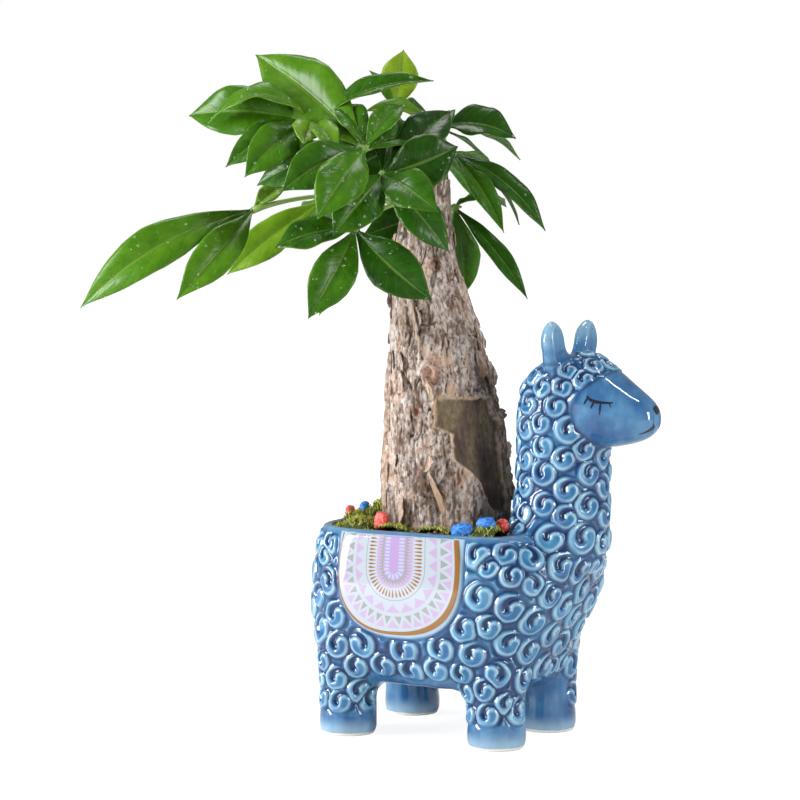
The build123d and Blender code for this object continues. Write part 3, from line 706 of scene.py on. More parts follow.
# %% The print's surface
PRINT_MIDDLE, PRINT_TOP, PRINT_SPINE, PRINT_RADIUS = -4.6, 92.7, 14.2, 29.4
PRINT_LIFT, PRINT_FLARE, FAR_ASIDE = 0.12, 0.045, 80
WIDER_IN_FRONT, WIDER_BEHIND = 3.9, -0.2
RINGS, DROPS, ARCS = 60, 28, 110


def print_piece(name, side):
    """A thin skin laid on the clay of one flank, with each point's ring, turn and drop painted on it."""
    round_it = [(PRINT_SPINE * (1 - k / DROPS), -math.pi / 2) for k in range(DROPS)]
    round_it += [(0.0, -math.pi / 2 + math.pi * k / ARCS) for k in range(ARCS + 1)]
    round_it += [(PRINT_SPINE * k / DROPS, math.pi / 2) for k in range(1, DROPS + 1)]
    places, rings, turns_in_u, drops_in_u = [], [], [], []
    for ring in np.linspace(0, 1, RINGS + 1):
        for drop, turn in round_it:
            power = 2 + 0.5 * ring**4
            aside = math.copysign(abs(math.sin(turn)) ** (2 / power), turn)
            down = abs(math.cos(turn)) ** (2 / power) if drop == 0 else 0.0
            wide = PRINT_RADIUS + (WIDER_IN_FRONT if aside > 0 else WIDER_BEHIND)
            px = PRINT_MIDDLE + aside * ring * wide * (1 - PRINT_FLARE * (drop / PRINT_SPINE) ** 2)
            pz = PRINT_TOP - (PRINT_SPINE - drop) - down * ring * (PRINT_RADIUS - 0.1)
            places.append(on_clay((px, side * FAR_ASIDE, pz), (0, -side, 0), PRINT_LIFT))
            rings.append(ring * PRINT_RADIUS)
            turns_in_u.append(abs(turn))
            drops_in_u.append(drop)
    faces = grid_faces(RINGS + 1, len(round_it))
    if side < 0:
        faces = [face[::-1] for face in faces]
    heap = Heap()
    heap.add(places, faces, ring=rings, turn=turns_in_u, drop=drops_in_u)
    return heap.piece(name)


# %% [markdown]
# The rows of the print, from the rim of the blanket inward: a gold-brown border, grey and lilac triangles that point
# past each other, a ring of larger lilac triangles, a hair line, gold drops, a lilac band with a grey saw-tooth arch,
# and pale ovals round a lilac middle. `across` gives the distance to the middle of the nearest repeat in a row.

# %% The print's finish
saddle = Finish("printed transfer")
ring_at, turn_at, drop_at = saddle.painted("ring"), saddle.painted("turn"), saddle.painted("drop")
wobble = (saddle.noise(1.6 * MM, 2.0) - 0.5) * 0.16
WHITE, LILAC, PINK = (0.41, 0.46, 0.52), (0.43, 0.32, 0.49), (0.44, 0.33, 0.50)
MIDDLE, ICE = (0.39, 0.27, 0.50), (0.39, 0.47, 0.56)
GREY, GOLD, BROWN = (0.27, 0.29, 0.29), (0.26, 0.115, 0.022), (0.27, 0.13, 0.03)


def across(radius, pitch, spread, offset=0.0):
    """Distance in mm to the middle of the nearest repeat, in a row at radius. spread widens the repeats on the arc."""
    round_it = turn_at * (radius * spread) + drop_at
    return abs((round_it / pitch + (offset + 0.5)) % 1.0 - 0.5) * pitch


def within(value, low, high, soft=0.07):
    """1 between low and high, with edges as wide as soft says."""
    return value.rise(low - soft, low + soft) * (1 - value.rise(high - soft, high + soft))


def triangles(base, tip, half, radius, pitch, spread, offset=0.0):
    """A ring of triangles with their bases at one ring and their tips at another."""
    taper = (tip - ring_at) * (half / (tip - base))
    inside = (taper - across(radius, pitch, spread, offset)).rise(-0.06, 0.06)
    return inside * within(ring_at, min(base, tip), max(base, tip))


# %% The rows, laid over each other
oval = ((ring_at - 3.4) / 1.35) ** 2.0 + (across(3.4, 1.5, 0.9) / 0.48) ** 2.0
reach = ((ring_at - 9.0) / 4.0).most(0.001)
drop_half = reach**0.7 * (1 - reach**7.0) * 0.58
gold_drops = (drop_half - across(11.2, 1.6, 1.0)).rise(-0.05, 0.06) * within(ring_at, 9.0, 13.0)
rays = (across(17.5, 0.62, 0.9) + wobble).rise(0.02, 0.10) * 0.25 + 0.75
sides = saddle.node("ShaderNodeSeparateXYZ", {}, {0: saddle.place()}, output=0)
border = 28.5 - sides.rise(-0.030, 0.020) * 1.1
colour = saddle.over(
    WHITE,
    (within(ring_at, -9.0, 5.3), MIDDLE),
    (within(ring_at, 5.3, 8.7), LILAC),
    (within(ring_at, 5.2, 5.85), GREY),
    (triangles(5.7, 7.8, 0.62, 6.4, 1.35, 1.0), GREY),
    ((1 - oval.rise(0.75, 1.3)) * 0.9, ICE),
    (gold_drops, BROWN),
    (within(ring_at, 13.95, 14.3, 0.06), GREY),
    (triangles(19.6, 15.7, 2.75, 17.5, 5.7, 0.95) * rays, LILAC),
    (triangles(21.2, 24.8, 1.85, 23.0, 5.3, 1.15, 0.5), GREY),
    (triangles(26.4, 22.5, 2.2, 23.0, 5.3, 1.15), PINK),
    ((ring_at - border + wobble * 0.6).rise(-0.06, 0.06), GOLD),
    (saddle.noise(1.1 * MM, 4.0).rise(0.70, 0.78) * 0.35, WHITE),
)
saddle.coat(Base_Color=colour, Roughness=saddle.noise(6 * MM) * 0.06 + 0.07, Coat_Weight=0.5, Coat_Roughness=0.04)
for side, word in ((-1, "right"), (1, "left")):
    transfer = print_piece(f"saddle_transfer_{word}", side)
    settle(transfer, "planter", "saddle_print", saddle, f"saddle_print_{word}")

# %% [markdown]
# ## Sleeping eyes, nose and mouth
# The painter drew a closed lid with four lashes on each side, a dark nose and a fine smile. Brush strokes swell and
# taper, so each one is a flat ribbon laid on the face, widest in its middle.

# %% Brush strokes
ink = Finish("black brush line")
ink.coat(
    Base_Color=ink.blend(ink.noise(2 * MM), (0.006, 0.008, 0.014), (0.020, 0.026, 0.040)),
    Roughness=ink.noise(3 * MM) * 0.08 + 0.08,
)


STROKE_STEPS, TAPER = 14, 0.25


def stroke(heap, points, wide, side):
    """A ribbon through points in the x-z plane, cast sideways onto the clay."""
    curve = np.array(points, float)
    if len(curve) > 2:
        t = np.linspace(0, 2, STROKE_STEPS)
        weights = np.stack([(1 - t / 2) ** 2, 2 * (t / 2) * (1 - t / 2), (t / 2) ** 2], 1)
        bend = 2 * curve[1] - (curve[0] + curve[2]) / 2
        line = weights @ np.stack([curve[0], bend, curve[2]])
    else:
        line = curve[0] + np.linspace(0, 1, STROKE_STEPS)[:, None] * (curve[1] - curve[0])
    ahead = np.gradient(line, axis=0)
    aside = np.stack([-ahead[:, 1], ahead[:, 0]], 1) / np.linalg.norm(ahead, axis=1, keepdims=True)
    share = np.linspace(0, 1, STROKE_STEPS)
    width = wide / 2 * (TAPER + (1 - TAPER) * np.sin(math.pi * np.clip(share * 0.9 + 0.08, 0, 1)) ** 0.6)
    places = []
    for edge_side in (-1, 0, 1):
        for (sx, sz), w, (ax, az) in zip(line, width, aside):
            px, pz = sx + edge_side * w * ax, sz + edge_side * w * az
            lift = 0.13 - 0.07 * abs(edge_side)
            places.append(on_clay((px, side * 60, pz), (0, -side, 0), lift, missed=(px, side * 4, pz)))
    heap.add(places, grid_faces(3, STROKE_STEPS))


LID = [(76.2, 155.9), (79.6, 153.5), (87.0, 153.0)]
LASHES = [  # root, tip and width
    ((76.7, 155.2), (74.9, 152.2), 1.0),
    ((79.5, 153.7), (77.9, 150.3), 0.9),
    ((82.2, 153.1), (81.7, 147.6), 0.9),
    ((85.4, 153.1), (86.5, 150.9), 0.45),
]
SMILE = [(102.5, 147.6), (101.6, 142.4), (96.4, 139.3)]
strokes = Heap()
for side in (-1, 1):
    stroke(strokes, LID, 1.4, side)
    for *lash, wide in LASHES:
        stroke(strokes, lash, wide, side)
    stroke(strokes, SMILE, 0.8, side)
eyes = strokes.piece("painted_lashes_and_smile")
settle(eyes, "planter", "blue_glaze", ink)

# %% [markdown]
# The nose is a dab of the same black, shaped like a soft triangle over the tip of the muzzle.

# %% The nose
NOSE_HEIGHT, NOSE_RINGS, NOSE_SIDES = 149.6, 7, 28
dab = Heap()
dab_places = []
for r in np.linspace(0, 1, NOSE_RINGS):
    for k in range(NOSE_SIDES):
        a = 2 * math.pi * k / NOSE_SIDES
        wide = 3.0 - 1.0 * max(0, -math.sin(a))
        start = (130, r * wide * math.cos(a), NOSE_HEIGHT + r * 2.0 * math.sin(a))
        dab_places.append(on_clay(start, (-1, 0, 0), 0.14 - 0.08 * r))
dab.add(dab_places, grid_faces(NOSE_RINGS, NOSE_SIDES, closed=True))
nose = dab.piece("painted_nose")
settle(nose, "planter", "blue_glaze", ink)

# %% [markdown]
# ## The swollen trunk
# A money tree's trunk swells where it stores water. Its bark is thin and dry, and comes off in upright plates with dark
# cracks between them. The CAD gives the sizes at twelve heights. Plates, cracks and ridges are noise that is stretched
# upward, and a smooth brown patch low on one side has lost its plates. The net of places is wrapped round the trunk
# in rows, so each pattern can be read from a place's angle and height.

# %% The trunk's sizes
SOIL = 93.0
TRUNK = [  # share of the height, share of the lean, share of the radius
    (0.0, 0.0, 1.0), (0.06, 0.0, 1.0), (0.12, 0.0, 0.995), (0.2, 0.05, 0.975), (0.28, 0.13, 0.93),
    (0.4, 0.27, 0.86), (0.51, 0.44, 0.77), (0.61, 0.63, 0.67), (0.7, 0.88, 0.56), (0.82, 1.0, 0.46),
    (0.91, 0.9, 0.39), (1.0, 0.8, 0.335),
]
TRUNK_HEIGHT, TRUNK_LEAN, TRUNK_RADIUS, TRUNK_BACK = 158.0, 13.0, 28.6, 2.0
BARK_SLABS = [  # the CAD's plates: way in degrees, lower and upper share of the height, share of the radius
    (-150, 0.12, 0.30, 0.55), (-112, 0.16, 0.38, 0.50), (-76, 0.11, 0.27, 0.45), (-72, 0.44, 0.58, 0.50),
    (-28, 0.42, 0.55, 0.45), (20, 0.13, 0.33, 0.55), (62, 0.18, 0.40, 0.50), (105, 0.12, 0.29, 0.50),
    (148, 0.17, 0.38, 0.55), (-132, 0.42, 0.60, 0.45), (-105, 0.64, 0.76, 0.35), (-50, 0.60, 0.74, 0.35),
    (12, 0.58, 0.72, 0.40), (70, 0.45, 0.62, 0.45), (125, 0.43, 0.60, 0.45), (172, 0.52, 0.70, 0.40),
]


def trunk_at(height):
    """Middle and radius of the trunk at a height in mm."""
    share = np.clip((np.asarray(height, float) - SOIL) / TRUNK_HEIGHT, 0, 1)
    levels, leans, radii_there = np.array(TRUNK).T
    fine = np.linspace(0, 1, 80)
    blur = np.ones(7) / 7
    lean = np.convolve(np.pad(np.interp(fine, levels, leans), 3, "edge"), blur, "valid")
    thick = np.convolve(np.pad(np.interp(fine, levels, radii_there), 3, "edge"), blur, "valid")
    return -TRUNK_BACK - TRUNK_LEAN * np.interp(share, fine, lean), TRUNK_RADIUS * np.interp(share, fine, thick)


# %% Places round the trunk
ROWS, SECTORS = 430, 300
heights = np.repeat(np.linspace(SOIL - 5, SOIL + TRUNK_HEIGHT, ROWS), SECTORS)
angles = np.tile(np.linspace(0, 2 * math.pi, SECTORS, endpoint=False), ROWS)
middle, thick = trunk_at(heights)
wood = np.stack([middle + thick * np.cos(angles), thick * np.sin(angles), heights], 1)
outward = np.stack([np.cos(angles), np.sin(angles), np.zeros(len(angles))], 1)


def round_from(way):
    """Degrees round the trunk from a way, from -180 to 180."""
    return (np.degrees(angles) - way + 180) % 360 - 180


bearing = round_from(0)
print("places on the trunk:", len(wood))

# %% The worn patch
ragged = 5 * lumps(wood, 7.0, 21) + 1.5 * lumps(wood, 2.0, 33)
left_side = np.interp(heights, [98, 104, 127, 137, 141, 152], [-8, -17, -50, -53, -67, -67]) + ragged
patch_in = np.minimum(np.minimum(bearing - left_side, 2 + ragged - bearing) * 0.5, 153 + 0.4 * ragged - heights)
worn = step(patch_in, 0, 1.2) * step(heights, 100, 104)
lip_line = np.exp(-(((patch_in + 0.3) / 0.8) ** 2)) * (heights > 102) * (bearing > -75) * (bearing < 10)
# Painted shade: the bark on the side toward the neck, below 150 to 235 mm, is painted darker where the pot's head and
# neck shade it.
damp = step(bearing + ragged, -28, 14) * step(bearing, 100, 60) * step(heights, 235, 150)
print("share of the bark that is worn:", round(float(worn.mean()), 3))

# %% Plates, cracks and ridges
ridges = lumps(wood, (8, 8, 46), 22)
plates = step(lumps(wood, (4.4, 4.4, 13), 23), -0.02, 0.08)
scales = step(lumps(wood, (2.1, 2.1, 6.5), 24), 0.02, 0.14)
split = np.clip(1 - np.abs(lumps(wood, (3.2, 3.2, 21), 25)) / 0.07, 0, 1)
check = np.clip(1 - np.abs(lumps(wood, (2.0, 2.0, 9), 26)) / 0.06, 0, 1)
grain = lumps(wood, (0.8, 0.8, 5), 27)
rough = 1 - 0.85 * worn
slabs = np.zeros(len(wood))
for way, low, high, wide in BARK_SLABS:
    arc = np.abs(np.radians(round_from(way))) * thick / (wide * TRUNK_RADIUS / 2)
    climb = np.abs((heights - SOIL) / TRUNK_HEIGHT - (low + high) / 2) / ((high - low) / 2)
    slab_out = np.maximum(arc, climb) + 0.22 * lumps(wood, (3, 3, 5), 30) + 0.08 * lumps(wood, (1.2, 1.2, 2), 31)
    slabs = np.maximum(slabs, step(slab_out, 1.03, 0.96))
bark = 0.9 * lumps(wood, (13, 13, 26), 28) + 0.45 * ridges + 1.0 * slabs
bark += rough * (0.5 * plates + 0.4 * scales - 1.1 * split * (1 - 0.6 * slabs) - 0.5 * check) + 0.15 * grain
foot = step(heights, 116, 97)
bark += foot * (1.6 * ridges + 0.8 * np.abs(lumps(wood, (3.5, 3.5, 16), 29)) - 0.9)
bark += 0.7 * lip_line - 0.9 * worn - 0.8

# %% Scar and knots
SCAR_WAY, SCAR_HEIGHT = -50, 156.5
KNOTS = [(-73, 164, 4.0), (-44, 212, 3.6), (-88, 147, 2.6), (60, 150, 5.0), (150, 190, 4.0)]  # way, height, size
scar = step(np.hypot(np.radians(bearing - SCAR_WAY) * thick, heights - SCAR_HEIGHT), 2.7, 1.9)
fresh_wood = np.maximum(lip_line, scar)
knots = np.zeros(len(wood))
for way, knot_height, size in KNOTS:
    from_knot = np.hypot(np.radians(round_from(way)) * thick, (heights - knot_height) * 0.8) / size
    bark += 1.5 * np.exp(-(((from_knot - 0.75) / 0.3) ** 2)) - 0.8 * np.exp(-((from_knot / 0.45) ** 2))
    knots = np.maximum(knots, np.exp(-((from_knot / 0.7) ** 2)))
wood += outward * bark[:, None]
trunk_heap = Heap()
trunk_faces = grid_faces(ROWS, SECTORS, closed=True)
trunk_faces.append(tuple(range((ROWS - 1) * SECTORS, ROWS * SECTORS)))
trunk_heap.add(
    wood * MM, trunk_faces, slabs=slabs, scales=scales * rough,
    split=np.maximum(split, 0.7 * check) * rough,
    worn=worn, lip=fresh_wood, knots=knots, damp=damp,
)
trunk_piece = trunk_heap.piece("trunk_bark")

# %% [markdown]
# ## Bark colours
# Old bark is ash grey, fresh breaks are tan or pinkish, cracks are nearly black and the worn patch is olive brown.
# The bark on the side toward the neck is painted darker: that is painted shade from the pot's head and neck.

# %% The bark's finish
bark_finish = Finish("flaking bark")
fibre = bark_finish.noise(1.5 * MM, 5.0, (1, 1, 0.45))
patch = bark_finish.noise(11 * MM, 4.0, (1, 1, 0.5))
speck = bark_finish.noise(0.9 * MM, 3.0)
bark_mottle = bark_finish.noise(1.7 * MM, 5.0, (1, 1, 0.6))
frost = bark_mottle.rise(0.42, 0.62) * patch.rise(0.32, 0.50)
rust = bark_finish.noise(6 * MM, 4.0, (1, 1, 0.5)).rise(0.60, 0.70)
strips = bark_finish.noise(5.5 * MM, 3.0, (1, 1, 0.16)).rise(0.57, 0.66)
pits = 1 - bark_finish.noise(1.8 * MM, 3.0, (1, 1, 0.4)).rise(0.34, 0.43)
worn_colour = bark_finish.over(
    bark_finish.ramp(
        fibre * 0.25 + patch * 0.75,
        (0.36, (0.018, 0.010, 0.007)),
        (0.48, (0.066, 0.040, 0.025)),
        (0.60, (0.165, 0.125, 0.055)),
    ),
    ((1 - bark_mottle.rise(0.36, 0.60)) * 0.6, (0.085, 0.040, 0.030)),
)
bark_colour = bark_finish.over(
    bark_finish.ramp(
        fibre * 0.5 + patch * 0.5,
        (0.34, (0.045, 0.027, 0.018)),
        (0.44, (0.16, 0.100, 0.068)),
        (0.52, (0.31, 0.215, 0.165)),
        (0.62, (0.47, 0.375, 0.320)),
    ),
    (frost * 0.68, (0.62, 0.575, 0.545)),  # ash grey, then the palest plates
    (bark_finish.painted("slabs") * patch.rise(0.35, 0.60) * 0.35, (0.72, 0.655, 0.60)),
    (bark_finish.painted("scales") * patch.rise(0.46, 0.62) * 0.5, (0.42, 0.255, 0.140)),  # tan
    (rust * 0.6, (0.32, 0.150, 0.070)),
    (strips * (1 - bark_mottle.rise(0.52, 0.66)) * 0.7, (0.17, 0.110, 0.072)),  # dark where plates came off
    (pits * 0.85, (0.06, 0.035, 0.022)),
    # painted shade on the side toward the neck
    (bark_finish.painted("damp") * fibre.rise(0.72, 0.36) * 0.75, (0.105, 0.070, 0.048)),
    (bark_finish.painted("worn") * 0.95, worn_colour),
    (bark_finish.painted("lip") * 0.85, (0.50, 0.340, 0.215)),
    (bark_finish.painted("knots") * 0.75, (0.30, 0.135, 0.085)),
    (bark_finish.painted("split") * 0.9, (0.018, 0.011, 0.007)),
)
bark_finish.coat(
    Base_Color=bark_colour,
    Roughness=fibre * 0.15 + 0.72,
    Normal=bark_finish.bump(fibre + speck * 0.4, 0.7 * MM, 0.8),
)
settle(trunk_piece, "plant", "bark", bark_finish, "trunk")

# %% [markdown]
# Loose flakes stand off the trunk, some curled right up. Each is a small strip of bark with one long edge still on the
# wood. They break the outline, which tells the eye that this is bark and not a texture. The small ones are scattered at
# random over all but the worn patch, and the large strips, which give the trunk its look, are placed one by one.

# %% One loose flake
flake_heap = Heap()
picker = random.Random(5)
FLAKE_COLUMNS = 4


def flake(angle, height, long, wide, lift, tilt, side, tan=0.0, rows=7):
    """A strip of bark round angle and height, with one long edge on the wood and the other lifted off it."""
    places = []
    for i in range(rows):
        s = i / (rows - 1)
        h = height + (s - 0.5) * long
        mid, thick_here = trunk_at(h)
        half = wide * (0.55 + 0.45 * math.sin(math.pi * s)) * (0.8 + 0.4 * picker.random())
        for j in range(FLAKE_COLUMNS):
            c = j / (FLAKE_COLUMNS - 1)
            swing = angle + (side * c * half + tilt * (h - height)) / thick_here
            out_by = thick_here + (0.35 + lift * c * c * half * 0.8)
            places.append(Vector((mid + out_by * math.cos(swing), out_by * math.sin(swing), h)) * MM)
    flake_heap.add(places, grid_faces(rows, FLAKE_COLUMNS), scales=picker.random(), lip=tan)


# %% Small flakes all round
SMALL_FLAKES = 110
PATCH_WAY, PATCH_REACH, PATCH_LOW, PATCH_HIGH = -25, 42, 98, 158
for _ in range(SMALL_FLAKES):
    height = picker.uniform(SOIL + 4, SOIL + TRUNK_HEIGHT - 20)
    angle = picker.uniform(0, 2 * math.pi)
    from_patch = abs((math.degrees(angle) - PATCH_WAY + 180) % 360 - 180)
    if from_patch < PATCH_REACH and PATCH_LOW < height < PATCH_HIGH:
        continue
    long, wide = picker.uniform(3, 11), picker.uniform(1.2, 3.6)
    lift, tilt, side = picker.uniform(0.4, 1.0), picker.uniform(-0.25, 0.25), picker.choice((-1, 1))
    flake(angle, height, long, wide, lift, tilt, side)
print("small flakes have places:", len(flake_heap.places))

# %% Large strips
PEELS = [  # way in degrees, height, length, width, lift, tilt, side that is free, how tan
    (-74, 112, 22, 2.9, 1.2, -0.38, 1, 0.50), (-82, 124, 7, 5.0, 1.1, 0.3, 1, 0.45),
    (-112, 102, 12, 6.5, 0.8, 0.15, 1, 0.45), (-76, 157, 10, 2.6, 1.2, -0.3, 1, 0.40),
    (-88, 184, 28, 3.0, 1.1, -0.1, 1, 0.30), (-97, 190, 24, 2.6, 1.0, 0.05, -1, 0.20),
    (-128, 152, 42, 2.6, 1.0, 0.02, -1, 0.20), (-136, 118, 32, 3.2, 0.9, 0.0, -1, 0.30),
    (6, 116, 18, 3.6, 0.6, 0.1, 1, 0.05), (12, 145, 5, 2.2, 1.6, 0.5, 1, 0.0),
    (-12, 168, 12, 3.0, 1.0, 0.1, 1, 0.30), (100, 140, 26, 4.0, 1.0, 0.1, 1, 0.30),
]
PEEL_ROWS, FLAKE_THICKNESS = 13, 0.35
for way, *measures in PEELS:
    flake(math.radians(way), *measures, rows=PEEL_ROWS)
flakes = flake_heap.piece("bark_flakes")
thicken = flakes.modifiers.new("thick", "SOLIDIFY")
thicken.thickness = FLAKE_THICKNESS * MM
settle(flakes, "plant", "bark", bark_finish)

# %% [markdown]
# ## Green shoots
# Where the trunk was topped, two green shoots carry the leaves. They are ringed by the scars of old leaf stalks.

# %% Shoots
CROWN, REACH = Vector((-12.4, 0.0, 251.0)), 100.0


def crown(place):
    """A place in the crown, in mm, from its shares of the crown's reach."""
    return CROWN + Vector(place) * REACH


shoot_finish = Finish("green shoot")
shoot_noise = shoot_finish.noise(2 * MM, 4.0, (1, 1, 0.4))
shoot_finish.coat(
    Base_Color=shoot_finish.ramp(
        shoot_noise,
        (0.35, (0.09, 0.08, 0.03)),
        (0.55, (0.20, 0.20, 0.07)),
        (0.7, (0.33, 0.27, 0.16)),
    ),
    Roughness=0.5,
    Normal=shoot_finish.bump(shoot_noise, 0.3 * MM, 0.6),
)
SHOOTS = {
    "shoot_left": ((-0.045, -0.02, -0.02), (-0.12, -0.02, 0.26)),
    "shoot_right": ((0.045, 0.02, -0.02), (0.03, 0.03, 0.31)),
}
SHOOT_ROWS, SHOOT_SIDES = 40, 20
SHOOT_RADIUS, SHOOT_TAPER, STALK_SCAR = 4.1, 1.2, 0.35
for name, (foot_place, tip_place) in SHOOTS.items():
    low, high = crown(foot_place), crown(tip_place)
    path, radii = [], []
    for k in range(SHOOT_ROWS):
        s = k / (SHOOT_ROWS - 1)
        path.append((low + (high - low) * s) * MM)
        ring_round = STALK_SCAR * max(0, math.sin(s * 34)) ** 6
        radii.append((SHOOT_RADIUS - SHOOT_TAPER * s + ring_round) * MM)
    shoot_heap = Heap()
    shoot_heap.add(*tube(path, radii, SHOOT_SIDES))
    settle(shoot_heap.piece(f"{name}_stem"), "plant", "green_shoot", shoot_finish, name)
